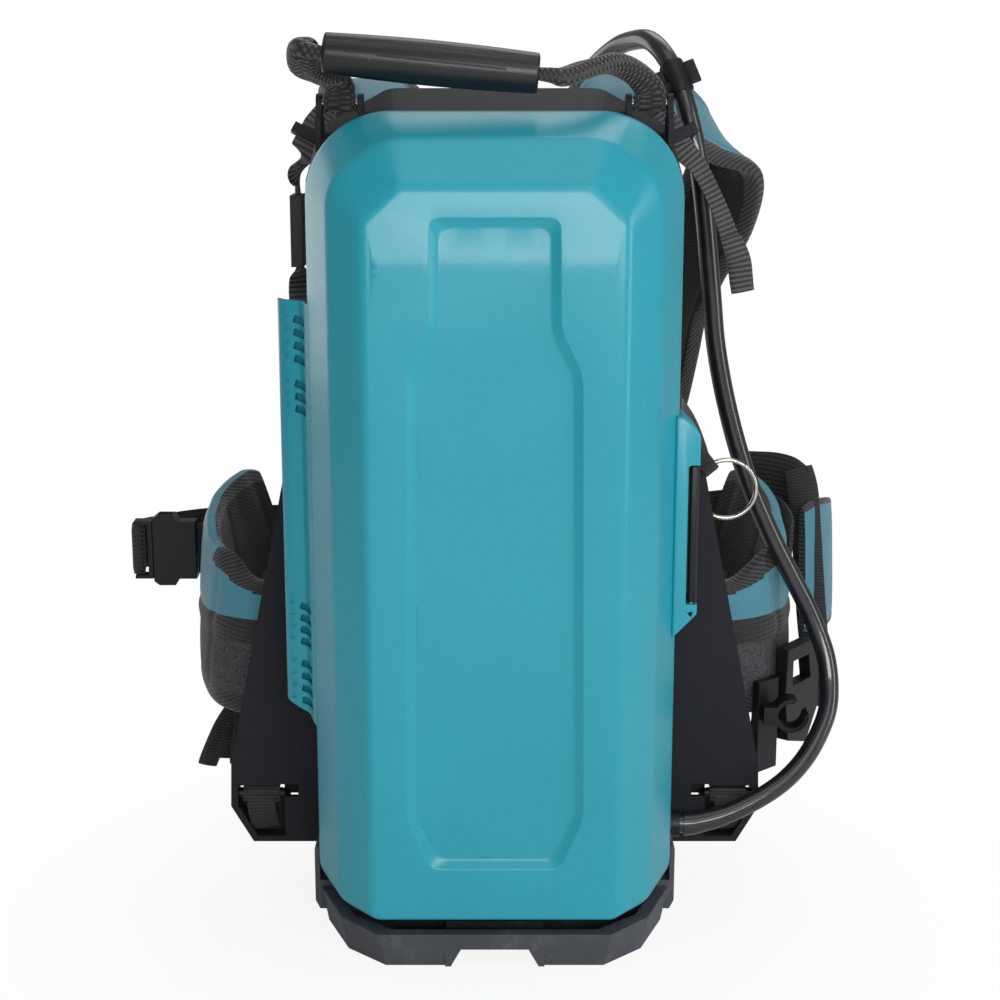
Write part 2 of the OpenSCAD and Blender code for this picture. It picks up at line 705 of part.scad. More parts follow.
module cord_plug() {
    tip = cord_route[len(cord_route) - 1];
    color(BLACK) translate([tip[0], tip[1], tip[2] - plug_len - 18]) {
        cylinder(d = plug_d, h = plug_len);
        translate([0, 0, plug_len - 6]) cylinder(d = plug_d + 4, h = 6);
        translate([0, 0, plug_len]) cylinder(d1 = plug_d - 6, d2 = cord_d + 4, h = 18);
        translate([0, 0, -8]) cylinder(d = plug_d - 10, h = 9);
    }
}
clip_at = [126, 107.5, 518.5];
clip_dir = [-4, 3, 15];
clip_wall = 2.6;
clip_len = 13;
module cord_clip() {
    yaw = atan2(clip_dir[1], clip_dir[0]);
    tilt = atan2(norm([clip_dir[0], clip_dir[1]]), clip_dir[2]);
    color(BLACK) {
        translate(clip_at) rotate([0, 0, yaw]) rotate([0, tilt, 0]) difference() {
            union() {
                cylinder(d = cord_d + 2 * clip_wall + 0.6, h = clip_len, center = true);
                rotate([0, 0, 180 - yaw]) translate([0, -4, -clip_len / 2]) cube([22, 4, clip_len]);
            }
            cylinder(d = cord_d + 2 * soft_gap + 0.3, h = 3 * clip_len, center = true);
            rotate([0, 0, 250 - yaw]) translate([0, -5, -clip_len]) cube([20, 10, 2 * clip_len]);
        }
        // its strap button
        translate([103, 95.3, 524]) rotate([90, 0, 0]) cylinder(d = 11, h = 3);
    }
}

// ---------- carry handle ----------

grip_left = [-101, -10, 555];
grip_right = [26, -10, 543];
module handle_grip() {
    along = grip_right - grip_left;
    mid = (grip_left + grip_right) / 2;
    slope = atan2(-along[2], along[0]);
    half = norm(along) / 2;
    // profile of half of the bowed grip: a barrel with rounded ends
    profile = concat([[0, -half]],
        [for (t = [-1 : 0.1 : 1]) [(grip_d / 2) * (0.88 + 0.12 * cos(t * 85)) - (abs(t) > 0.98 ? 1.5 : 0), t * half]],
        [[0, half]]);
    color(BLACK) translate(mid) rotate([0, 90 + slope, 0]) difference() {
        rotate_extrude($fn = 40) polygon(profile);
        translate([0, 0, 0]) cube([web_t + 1.2, handle_web_w + 1, 2 * half + 2], center = true);
    }
}
anchor_x = case_half_w - anchor_in;
loop_r = anchor_pin_d / 2 + 0.4 + web_t / 2;
module handle_webbing() {
    g = grip_left;
    h = grip_right;
    w = handle_web_w;
    span = unit(h - g);
    ahead = [0, -1, 0];
    up = [0, 0, 1];
    color(BLACK) band(concat(
        turn_round([-anchor_x, anchor_y, anchor_z], loop_r, -80, 190, -ahead, -up, [1, 0, 0], w, web_t),
        [[-anchor_x, anchor_y - 5.5, anchor_z + 11, 1, 0, 0, w, web_t],
         [-106, anchor_y - 12, anchor_z + 17, 0.8, 0.5, -0.1, w, web_t],
         [-117, 9, 546, 0.3, 0.9, -0.2, w, web_t],
         [-116, -4, 554, 0, 1, 0, w, web_t],
         concat(g - span * 5, [0, 1, 0, w, web_t]),
         concat(g + span * 30, [0, 1, 0, w, web_t]),
         concat(h - span * 30, [0, 1, 0, w, web_t]),
         concat(h + span * 5, [0, 1, 0, w, web_t]),
         [41, -8, 541.4, 0, 1, 0.1, w, web_t],
         [55, 2, 546, 0.3, 0.9, -0.2, w, web_t],
         [70, 15, 549, 0.6, 0.7, -0.4, w, web_t],
         [84, anchor_y - 11, 544, 0.9, 0.3, -0.2, w, web_t],
         [anchor_x - 1, anchor_y - 6, anchor_z + 9, 1, 0.05, 0, w, web_t]],
        turn_round([anchor_x, anchor_y, anchor_z], loop_r, 170, 440, -ahead, up, [1, 0, 0], w, web_t)), 2);
}
module handle_pins() {
    len = handle_web_w + 9;
    color(STEEL) for (side = [-1, 1])
        translate([side * anchor_x - len / 2, anchor_y, anchor_z]) rotate([0, 90, 0]) cylinder(d = anchor_pin_d, h = len);
}

// ---------- harness plate ----------

plate_y = shell_depth;
window_x = plate_half_w - 21;
window_z = plate_bottom + 4 + window_h / 2;
window_top = window_z + window_h / 2;
window_back_t = 1.6;
rib_t = 4;
module plate_outline(d) {
    w = plate_half_w + d;
    half = [[w - 15, plate_bottom - d], [w, plate_bottom + 26 - d], [w - 1, plate_bottom + 57],
            [w - 42, 283], [w - 76, 297], [w - 80, 400], [w - 88, plate_top - 12 + d / 2], [w - 100, plate_top + d]];
    polygon(concat(half, [for (i = [len(half) - 1 : -1 : 0]) [-half[i][0], half[i][1]]]));
}
module plate_screw_places() {
    for (x = [-70, 70]) for (z = [110, 420]) translate([x, shell_depth, z]) children();
}
module window_cut(y0, y1) {
    low = window_z - window_h / 2;
    both_sides() slab(y0, y1) polygon([
        [window_x - window_w / 2, low], [window_x + window_w / 2 - 13, low],
        [window_x + window_w / 2, low + 22], [window_x + window_w / 2, window_top],
        [window_x - window_w / 2, window_top]]);
}
module harness_plate() {
    lip = 4;
    color(CHARCOAL) difference() {
        union() {
            slab(plate_y, plate_y + plate_t) plate_outline(0);
            slab(plate_y, plate_y + plate_rim) difference() {
                plate_outline(0);
                plate_outline(-lip);
            }
            // walls round the strap windows carry the bars
            both_sides() slab(plate_y, plate_y + plate_rim)
                intersection() {
                    translate([window_x - window_w / 2 - 3, window_z - window_h / 2 - 3])
                        square([window_w + 6, window_h + 6]);
                    plate_outline(0);
                }
            // ribs
            for (rib = [[150, 134], [240, 70], [330, 70], [420, 70]]) slab(plate_y, plate_y + plate_rim)
                translate([-rib[1], rib[0]]) square([2 * rib[1], rib_t]);
            for (x = [-70, -2, 66]) slab(plate_y, plate_y + plate_rim)
                translate([x, 60]) square([rib_t, plate_top - 70]);
        }
        // the windows are pockets; the webbing passes over their back walls
        window_cut(plate_y - 1, plate_y + plate_rim - window_back_t);
        both_sides() slab(plate_y - 1, plate_y + plate_rim + 1)
            translate([window_x - window_w / 2, bar_z + 1]) square([window_w, window_top - bar_z - 1]);
        both_sides() slab(plate_y - 1, plate_y + plate_rim + 1)
            translate([window_x - window_w / 2 - 9.5, window_top - 8]) square([12, 9]);
        plate_screw_places() translate([0, 20, 0]) rotate([90, 0, 0]) cylinder(d = screw_d + 0.6, h = 30);
        plate_screw_places() translate([0, plate_rim + 1, 0]) rotate([90, 0, 0])
            cylinder(d = screw_head_d + 1, h = plate_rim - plate_t + 1 + 2);
    }
}
module plate_screws() {
    color(STEEL) plate_screw_places() translate([0, plate_t - 2 + screw_head_h, 0]) rotate([90, 0, 0])
        screw(plate_t + wall + 4);
}
bar_y = plate_y + plate_rim / 2 - 1;
bar_z = window_top - 7.5;
module strap_bars() {
    color(BLACK) both_sides() translate([window_x - window_w / 2, bar_y, bar_z]) rotate([0, 90, 0])
        cylinder(d = bar_d, h = window_w);
}

// ---------- harness ----------

pad_y = plate_y + plate_rim;
back_pad_low = 150;
back_pad_high = 452;
pad_channels = [-26, 26];
function pad_crown(x, z) =
    let (u = min(1, max(0, 1 - abs(x) / back_pad_half_w)),
         v = min(1, max(0, 1 - abs(z - (back_pad_low + back_pad_high) / 2) / ((back_pad_high - back_pad_low) / 2))),
         groove = 1 - 0.45 * exp(-pow((abs(x) - 26) / 6, 2)))
    back_pad_t * (0.35 + 0.65 * pow(u, 0.35) * pow(v, 0.3) * groove);
module back_pad() {
    nx = 18;
    nz = 16;
    rings = [for (j = [0 : nz])
        let (z = back_pad_low + (back_pad_high - back_pad_low) * j / nz,
             half = back_pad_half_w * (j == 0 || j == nz ? 0.93 : 1),
             xs = [for (i = [0 : nx]) half * (2 * i / nx - 1)])
        concat([for (x = xs) [x, pad_y + pad_crown(x, z), z]], [for (i = [nx : -1 : 0]) [xs[i], pad_y, z]])];
    color("#2a2c30") skin(rings, true);
}

// Rows [x, y, z, wx, wy, wz, width, thickness] of the right-hand pieces
strap_root_y = pad_y + soft_gap + strap_t * 0.25 + 0.5;
strap_head = [
    [80, strap_root_y, 464, 1, 0, 0, strap_w * 0.8, strap_t * 0.5],
    [77, strap_root_y + 3, 486, 1, 0, 0, strap_w * 0.9, strap_t * 0.9],
    [73, 101, 509, 0.97, -0.25, 0, strap_w, strap_t],
    [76, 121, 528, 0.85, -0.5, 0, strap_w, strap_t]];
strap_low = 276;
// the right strap leans out over its bend, the left one hangs straight down
strap_x = [116, 94];
strap_y = 218;
strap_rows = concat(strap_head, [
    [91, 144, 533, 0.8, -0.6, -0.1, strap_w, strap_t],
    [117, 161, 525, 0.75, -0.65, -0.1, strap_w, strap_t],
    [146, 175, 506, 0.7, -0.7, -0.1, strap_w, strap_t],
    [162, 191, 480, 0.75, -0.65, 0, strap_w, strap_t],
    [156, 205, 446, 0.88, -0.45, 0, strap_w, strap_t],
    [138, 214, 412, 0.98, -0.2, 0, strap_w, strap_t],
    [125, strap_y + 4, 378, 1, 0, 0, strap_w, strap_t],
    [strap_x[0] + 4, strap_y + 4, 345, 1, 0, 0, strap_w * 0.95, strap_t],
    [strap_x[0], strap_y + 2, 310, 1, 0, 0, strap_w * 0.85, strap_t],
    [strap_x[0], strap_y, strap_low, 1, 0, 0, strap_w * 0.6, strap_t * 0.6]]);
left_strap_rows = mirror_x(concat(strap_head, [
    [86, 146, 533, 0.9, -0.45, 0, strap_w, strap_t],
    [90, 172, 524, 1, -0.1, 0, strap_w, strap_t],
    [94, 196, 502, 1, 0, 0, strap_w, strap_t],
    [98, 214, 466, 1, 0, 0, strap_w, strap_t],
    [99, strap_y + 4, 420, 1, 0, 0, strap_w, strap_t],
    [98, strap_y + 4, 378, 1, 0, 0, strap_w, strap_t],
    [97, strap_y + 4, 345, 1, 0, 0, strap_w * 0.95, strap_t],
    [strap_x[1] + 1, strap_y + 2, 310, 1, 0, 0, strap_w * 0.85, strap_t],
    [strap_x[1], strap_y, strap_low, 1, 0, 0, strap_w * 0.6, strap_t * 0.6]]));
module shoulder_strap_left() {
    color(TEAL) padding(left_strap_rows, 2);
}
module shoulder_strap_right() {
    color(TEAL) padding(strap_rows, 2);
}

// Middle of the slider on the lifter webbing, its direction down the webbing and across it
slider_at = [117, 84.5, 503];
slider_dir = unit([0.46, -0.32, -0.83]);
slider_w = unit([0.88, 0.1, 0.45]);
slider_turn = [158.33, -26.9, 6.47];
lifter_rows = [
    concat(slider_at - 20 * slider_dir + [-1.6, 1.8, -1.2], slider_w, [web_w * 0.8, web_t]),
    concat(slider_at - 9 * slider_dir, slider_w, [web_w * 0.8, web_t]),
    concat(slider_at - 3 * slider_dir, slider_w, [web_w * 0.8, web_t]),
    concat(slider_at + 3 * slider_dir, slider_w, [web_w * 0.8, web_t]),
    concat(slider_at + 9 * slider_dir, slider_w, [web_w * 0.8, web_t]),
    [139, 76.5, 470, 0.9, 0.3, 0.3, web_w * 0.8, web_t],
    [150, 75, 446, 0.95, 0.2, 0.3, web_w * 0.8, web_t],
    [159, 74, 422, 1, 0.1, 0.2, web_w * 0.8, web_t],
    [160, 74, 412, 1, 0.1, 0.1, web_w * 0.8, 2 * web_t]];
// The buckle that the left webbing's tail hangs through
rail_at = [-128.5, 95, 443];
module lifter_webbing_left() {
    head = mirror_x([for (i = [0 : 4]) lifter_rows[i]]);
    color(BLACK) band(concat(head, [[-125.5, 86, 486, 0.6, 0.75, 0.2, web_w * 0.8, web_t]],
        [for (z = [33, 23, 0, -23, -45]) concat(rail_at + [0, 0, z], [0, 1, 0, web_w * 0.8, web_t])]), 2);
}
module lifter_webbing_right() {
    color(BLACK) band(lifter_rows, 2);
}
module lifter_buckles() {
    slot = [web_w * 0.8 + 3 * soft_gap, web_t + 3 * soft_gap, 20];
    color(BLACK) both_sides() translate(slider_at) rotate(slider_turn) difference() {
        cube([web_w * 0.8 + 8, web_t + 4, 7], center = true);
        cube(slot, center = true);
    }
    color(BLACK) translate(rail_at) difference() {
        cube([web_t + 5.6, web_w * 0.8 + 8, 46], center = true);
        cube([slot[1], slot[0], 50], center = true);
    }
}
function lower_rows(x) = concat([
    [x, strap_y - 0.2, strap_low - 0.75, 1, 0, 0, web_w, web_t],
    [x + 1, strap_y - 5, strap_low - 26, 1, 0, 0, web_w, web_t],
    [x + (window_x - x) * 0.2, 199, 205, 1, 0, 0, web_w, web_t],
    [x + (window_x - x) * 0.5, 178, 150, 1, 0, 0, web_w, web_t],
    [x + (window_x - x) * 0.83, 147, 100, 1, 0, 0, web_w, web_t],
    [window_x - 0.8, 116, 73, 1, 0, 0, web_w, web_t],
    [window_x, bar_y + 15, bar_z + 6, 1, 0, 0, web_w, web_t]],
    turn_round([window_x, bar_y, bar_z], bar_d / 2 + 0.5 + web_t / 2, 95, 330, [0, 1, 0], [0, 0, 1], [1, 0, 0], web_w, web_t));
module lower_webbing(rows) {
    color(BLACK) band(rows, 2);
}
module lower_webbing_left() { lower_webbing(mirror_x(lower_rows(strap_x[1]))); }
module lower_webbing_right() { lower_webbing(lower_rows(strap_x[0])); }

chest_z = 372;
chest_y = 238;
chest_face = strap_y + 4 + strap_t / 2 + web_t / 2 + 0.35;
chest_rows = [
    for (r = [[134, chest_face + 0.5, 0], [122, chest_face + 0.5, 0], [112, chest_face + 0.5, 0], [88, 231.6, -1], [56, 235.5, -3],
              [26, chest_y, -6], [0, chest_y, -6], [-26, chest_y, -6], [-50, 235.5, -3], [-72, 231.6, -1],
              [-88, chest_face, 0], [-98, chest_face, 0], [-110, chest_face, 0]])
        [r[0], r[1], chest_z + r[2], 0, 0, 1, web_w * 0.8, web_t]];
module chest_webbing() {
    color(BLACK) band(chest_rows, 2);
}
module chest_buckle() {
    color(BLACK) translate([0, chest_y, chest_z - 6]) difference() {
        cube([52, 11, 28], center = true);
        cube([54, web_t + 2 * soft_gap, web_w * 0.8 + 2 * soft_gap], center = true);
    }
}

hip_rows = [
    [108, pad_y + soft_gap + hip_t * 0.3, 142, 0, 0, 1, 66, hip_t * 0.6],
    [128, pad_y + soft_gap + hip_t * 0.5, 142, 0, 0, 1, 72, hip_t],
    [160, 98, 143, 0, 0, 1, 74, hip_t],
    [184, 110, 146, 0, 0, 1, 80, hip_t],
    [198, 132, 154, 0, 0, 1, 92, hip_t],
    [204, 160, 168, -0.05, 0, 1, 102, hip_t],
    [202, 188, 184, -0.1, 0, 1, 104, hip_t],
    [194, 212, 200, -0.1, 0, 1, 100, hip_t],
    [182, 232, 212, -0.1, 0, 1, 90, hip_t],
    [170, 244, 218, 0, 0, 1, 70, hip_t * 0.6]];
module hip_pad_left() {
    color(TEAL) padding(mirror_x(hip_rows), 2);
}
module hip_pad_right() {
    color(TEAL) padding(hip_rows, 2);
}

buckle_at = [-245, 216, 196];
fold_end = [-258, 236, 197];
fold_bar_d = 4.5;
fold_bar = buckle_at - [21.75, 0, 0];
fold_r = fold_bar_d / 2 + soft_gap + web_t / 2;
fold_rows = concat(
    turn_round(fold_bar, fold_r, 150, -90, [0, -1, 0], [1, 0, 0], [0, 0, 1], waist_w, web_t),
    [[-270.5, 221, 196, 0, 0, 1, waist_w, web_t], [-269, 226, 196.4, 0, 0, 1, waist_w, web_t],
     [-263, 231, 197, 0, 0, 1, waist_w, web_t], concat(fold_end, [0, 0, 1, waist_w, web_t])]);
waist_rows = [
    concat(fold_end + [0.3, 0.3, 0], [0, 0, 1, waist_w, web_t]),
    [-247, 247, 197, 0, 0, 1, waist_w, web_t], [-222, 258, 198, 0, 0, 1, waist_w, web_t],
    [-180, 264, 199, 0, 0, 1, waist_w, web_t], [-100, 272, 198, 0, 0, 1, waist_w, web_t],
    [0, 276, 198, 0, 0, 1, waist_w, web_t], [100, 272, 202, 0, 0, 1, waist_w, web_t],
    [150, 264.6, 208, 0, 0, 1, waist_w, web_t], [176.3, 250.6, 214, 0, 0, 1, waist_w, web_t],
    [191.2, 239.3, 218, 0, 0, 1, waist_w, web_t], [203.9, 217, 220, 0, 0, 1, waist_w, web_t],
    [211.9, 190, 218, 0, 0, 1, waist_w, web_t], [213.9, 166, 214, 0, 0, 1, waist_w, web_t]];
module waist_webbing() {
    color(BLACK) band(waist_rows, 3);
}
module buckle_fold() {
    color(BLACK) band(fold_rows, 2);
}
module buckle_webbing() {
    color(BLACK) band([
        [buckle_at[0] + 22.3, buckle_at[1], 196, 0, 0, 1, waist_w, web_t],
        [-216, 217, 196, 0, 0, 1, waist_w, web_t], [-209.4, 219.4, 196, 0, 0, 1, waist_w, web_t],
        [-203.4, 226.4, 196, 0, 0, 1, waist_w, web_t], [-197.4, 234.4, 197, 0, 0, 1, waist_w, web_t],
        [-191.4, 241.3, 199, 0, 0, 1, waist_w, web_t]], 3);
}
module buckle_socket() {
    color(BLACK) translate(buckle_at) difference() {
        slab(-6, 6) polygon([[-10, -24], [-6, -27], [6, -27], [9, -22], [22, -22], [22, 22], [9, 22], [6, 27], [-6, 27], [-10, 24]]);
        // mouth that takes the prongs
        translate([-11, -4, -19]) cube([22, 8, 38]);
        // side windows for the prongs' heads
        for (z = [-1, 1]) translate([-6, -4, z * 23 - 5]) cube([11, 8, 10]);
    }
}
prong_out = 0.5;
module buckle_prongs() {
    color(BLACK) translate(buckle_at) {
        difference() {
            slab(-5.5, 5.5) polygon([[-24, -22], [-10 - prong_out, -22], [-10 - prong_out, 22], [-24, 22]]);
            translate([-25, -7, -19.5]) cube([11, 14, 39]);
        }
        translate(fold_bar - buckle_at - [0, 0, 20]) cylinder(d = fold_bar_d, h = 40);
        slab(-3.5, 3.5) polygon([[-11, -3], [6, -3], [6, 3], [-11, 3]]);
        for (s = [-1, 1]) slab(-3.5, 3.5)
            polygon([[-11, s * 12], [2, s * 14], [2, s * 18.4], [-11, s * 18.4]]);
    }
}

// Holder for a tool's hanging hook, seated on the right hip pad's outer side
holder_seat = [207.95, 127.3, 116];
holder_turn = 52;
module tool_holder() {
    color(BLACK) translate(holder_seat) rotate([0, 0, holder_turn]) difference() {
        slab(-9 - soft_gap, -soft_gap)
            polygon([[-16, 34], [22, 34], [28, 20], [30, -18], [14, -42], [-12, -34], [-18, 0]]);
        slab(-11, 1) polygon([[-8, 24], [14, 24], [18, 6], [-8, 6]]);
    }
}
// C-shaped hook for a hose or lead, on a plate on the pad's lower edge
hook_at = [205, 84.5, 110];
hook_seat = [189.3, 104, 0];
hook_turn = 42;
hook_wall = 3;
module tool_hook() {
    color(BLACK) difference() {
        union() {
            translate(hook_at) rotate([-90, 0, 0]) cylinder(r = hook_r + hook_wall, h = hook_len);
            translate([186, hook_at[1], hook_at[2] - 6]) cube([hook_at[0] - hook_r - 1 - 186, hook_len, 12]);
            translate(hook_seat) rotate([0, 0, hook_turn]) slab(-5 - soft_gap, -soft_gap)
                polygon([[-13, 66], [8, 66], [8, 132], [-13, 132]]);
        }
        translate(hook_at - [0, 1, 0]) rotate([-90, 0, 0]) cylinder(r = hook_r, h = hook_len + 2);
        translate(hook_at - [0, 1, 0]) rotate([0, -40, 0]) translate([2, 0, -6]) cube([30, hook_len + 2, 12]);
    }
}

// Steel ring, hung on a folded tab of webbing
ring_at = [plate_half_w - 26, plate_y + plate_rim + 5.5, 270];
ring_lean = 130;
ring_r = ring_d / 2 - ring_wire_d / 2;
ring_out = [cos(ring_lean), 0, sin(ring_lean)];
ring_touch = ring_at + ring_r * ring_out;
module steel_ring() {
    color(STEEL) translate(ring_at) rotate([90, 0, 0]) rotate_extrude($fn = 64)
        translate([ring_r, 0]) circle(d = ring_wire_d, $fn = 20);
}
// Middle line of the ring's tab: [place, way to the outer ply, width direction, half gap, width]
tab_line = [
    [[case_half_w + soft_gap + web_t + 0.6, 44, 331], [1, 0, 0], [0, 0, 1], web_t / 2 + 0.15, web_w],
    [[case_half_w + 5.6, 58, 325], [0.86, -0.5, 0], [0.08, 0.2, 0.97], web_t / 2 + 0.15, web_w],
    [[(case_half_w + ring_touch[0]) / 2 - 2.1, 74, 311], [0.6, -0.77, 0.2], [0.5, 0.2, 0.85], web_t / 2 + 0.15, web_w * 0.84],
    [[ring_touch[0] - 9.6, 85.5, 298.5], [0.3, -0.95, 0], [0.68, 0.1, 0.72], web_t / 2 + 0.6, web_w * 0.64],
    [ring_touch + 8 * ring_out, [0, -1, 0], [ring_out[2], 0, -ring_out[0]], web_t / 2 + 1.4, web_w * 0.52]];
function tab_ply(side) = [for (r = tab_line) concat(r[0] + side * r[3] * r[1], r[2], [r[4], web_t])];
module ring_webbing() {
    inner_r = ring_wire_d / 2 + 1;
    w = web_w * 0.48;
    wire_drop = ring_r - sqrt(ring_r * ring_r - w * w / 4);
    middle = ring_touch + (inner_r - ring_wire_d / 2 - wire_drop - 0.35) * ring_out;
    along = [ring_out[2], 0, -ring_out[0]];
    back = tab_ply(-1);
    // one strip: down to the ring, round its wire and back to the case's side
    color(BLACK) band(concat(tab_ply(1),
        turn_round(middle, inner_r + web_t / 2, -80, 80, -ring_out, [0, 1, 0], along, w, web_t),
        [for (i = [len(back) - 1 : -1 : 0]) back[i]]), 2);
}

// ---------- the pieces, one by one ----------

rear_shell();
front_cover();
cover_seal();
hinge_pin();
latch_lever();
latch_pin();
base_foot();
foot_screws();
battery_tray();
tray_screws();
terminal_block(1);  // terminal_block_1
terminal_block(2);  // terminal_block_2
terminal_block(3);  // terminal_block_3
terminal_block(4);  // terminal_block_4
battery(1);  // battery_1
battery(2);  // battery_2
battery(3);  // battery_3
battery(4);  // battery_4
battery_button(1);  // battery_button_1
battery_button(2);  // battery_button_2
battery_button(3);  // battery_button_3
battery_button(4);  // battery_button_4
control_box();
indicator_lens();
check_button();
inner_leads();
cord_gland();
power_cord();
cord_plug();
cord_clip();
handle_grip();
handle_webbing();
handle_pins();
harness_plate();
plate_screws();
strap_bars();
back_pad();
shoulder_strap_left();
shoulder_strap_right();
lifter_webbing_left();
lifter_webbing_right();
lifter_buckles();
lower_webbing_left();
lower_webbing_right();
chest_webbing();
chest_buckle();
hip_pad_left();
hip_pad_right();
waist_webbing();
buckle_fold();
buckle_webbing();
buckle_socket();
buckle_prongs();
tool_holder();
tool_hook();
ring_webbing();
steel_ring();
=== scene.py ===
# %% [markdown]
# # Backpack battery power pack
# A teal moulded case for slide-in batteries sits on a padded harness. The CAD model is loaded
# first and stays where it is: every new piece is measured from it, and rides on one of its bodies.

# %% Load the frame
import math
from functools import partial

import bmesh
import bpy
import numpy as np
from mathutils import Euler, Matrix, Vector, noise
from mathutils.geometry import delaunay_2d_cdt


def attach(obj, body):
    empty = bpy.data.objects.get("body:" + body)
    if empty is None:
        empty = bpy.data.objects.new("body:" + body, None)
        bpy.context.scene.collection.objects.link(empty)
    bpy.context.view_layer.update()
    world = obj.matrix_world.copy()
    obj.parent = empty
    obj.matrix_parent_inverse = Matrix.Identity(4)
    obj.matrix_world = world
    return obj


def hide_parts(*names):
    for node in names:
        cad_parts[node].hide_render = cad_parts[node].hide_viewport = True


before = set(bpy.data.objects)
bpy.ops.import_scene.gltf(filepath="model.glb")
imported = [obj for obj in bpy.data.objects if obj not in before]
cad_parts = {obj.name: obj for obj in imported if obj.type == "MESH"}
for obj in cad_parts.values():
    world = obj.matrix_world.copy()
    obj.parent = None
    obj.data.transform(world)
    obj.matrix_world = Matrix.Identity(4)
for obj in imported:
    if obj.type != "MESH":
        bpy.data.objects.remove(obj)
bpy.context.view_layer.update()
MM = 0.001

# %% [markdown]
# ## Camera and studio
# The pack is seen square from the front and from a little above, as a catalogue shows it. A long
# lens keeps the sides parallel. The backdrop is white because its own colour is white.

# %% Camera
CAMERA_PLACE = (0.0, -1.1285, 0.5436)
CAMERA_PITCH = 77.0
camera_data = bpy.data.cameras.new("camera")
camera_data.sensor_width = 36.0
camera_data.lens = 66.67
camera_data.shift_x = 0.0053
camera = bpy.data.objects.new("camera", camera_data)
camera.location = CAMERA_PLACE
camera.rotation_euler = (math.radians(CAMERA_PITCH), 0.0, 0.0)
bpy.context.scene.collection.objects.link(camera)
bpy.context.scene.camera = camera
bpy.context.scene.view_settings.view_transform = "Standard"

# %% [markdown]
# ## Cord route
# The supply lead is 13 mm thick. It leaves a gland low on the right, climbs beside the case,
# passes over the shoulder strap and hangs behind with its plug, as it does on a wearer's back.

# %% Cord route in millimetres
CORD_D = 13.0
CORD_ROUTE = [
    (124.3, 40, 50), (131, 40, 50), (139, 41, 51), (153, 43, 54), (168, 47, 59), (184, 52, 66),
    (199, 58, 75), (212, 65, 87), (222, 73, 101), (229, 81, 116), (231, 89, 132), (229, 95, 150),
    (223, 100, 168), (215, 103, 186), (205, 105, 205), (194, 107, 226), (184, 108, 247),
    (174, 108, 270), (166, 108, 293), (159, 108, 317), (153, 108, 342), (148, 107, 369),
    (145, 106, 396), (142, 105, 423), (139, 104, 449), (136, 104, 472), (132, 104, 494),
    (128, 106, 511), (124, 109, 526), (119, 114, 540), (114, 122, 551), (108, 133, 560),
    (102, 147, 565), (95, 163, 565), (86, 181, 562), (76, 200, 554), (66, 219, 542), (57, 236, 525),
    (50, 248, 503), (46, 255, 478), (44, 258, 450), (44, 259, 420), (44, 259, 388), (44, 259, 355)]

# %% [markdown]
# ## Helpers for colour and nodes
# Colours are written as the hex values that a paint chart gives and are turned to linear light.
# One small function adds a node, sets its values and links its inputs.

# %% Colour and node helpers
def linear(hex_colour):
    parts = [int(hex_colour[i:i + 2], 16) / 255 for i in (1, 3, 5)]
    return tuple(c / 12.92 if c <= 0.04045 else ((c + 0.055) / 1.055) ** 2.4 for c in parts) + (1.0,)


def first_output(source):
    return source.outputs[0] if isinstance(source, bpy.types.Node) else source


def add_node(owner, kind, settings=None, **links):
    """Adds a node to a material or a world. Settings and links go by a socket's name or number, i0
    being the first socket. The setting stops is a ramp's list of places and colours. A link comes
    from a socket, or from a node's first one."""
    tree = owner.node_tree
    node = tree.nodes.new("ShaderNode" + kind)
    for name, value in (settings or {}).items():
        if name == "stops":
            for element, (place, colour) in zip(node.color_ramp.elements, value):
                element.position = place
                element.color = linear(colour) if isinstance(colour, str) else (colour,) * 3 + (1.0,)
        elif isinstance(name, int) or name in node.inputs:
            node.inputs[name].default_value = value
        else:
            setattr(node, name, value)
    for name, source in links.items():
        key = int(name[1:]) if name[0] == "i" and name[1:].isdigit() else name.replace("_", " ")
        tree.links.new(first_output(source), node.inputs[key])
    return node


def start_material(name):
    """A new material, its shader, and add_node for this material."""
    material = bpy.data.materials.new(name)
    material.use_nodes = True
    return material, material.node_tree.nodes["Principled BSDF"], partial(add_node, material)


def feed(node, **links):
    """Links sources to inputs of a node that is already there."""
    for name, source in links.items():
        node.id_data.links.new(first_output(source), node.inputs[name.replace("_", " ")])


# %% [markdown]
# ## Moulded plastics
# The cover is teal polypropylene from a spark-eroded mould: satin, with a grain of about half a
# millimetre that breaks up reflections. The rear shell and the plate are the same plastic in
# charcoal, duller and with a slightly deeper grain. The Bevel node softens the edges of the solids.

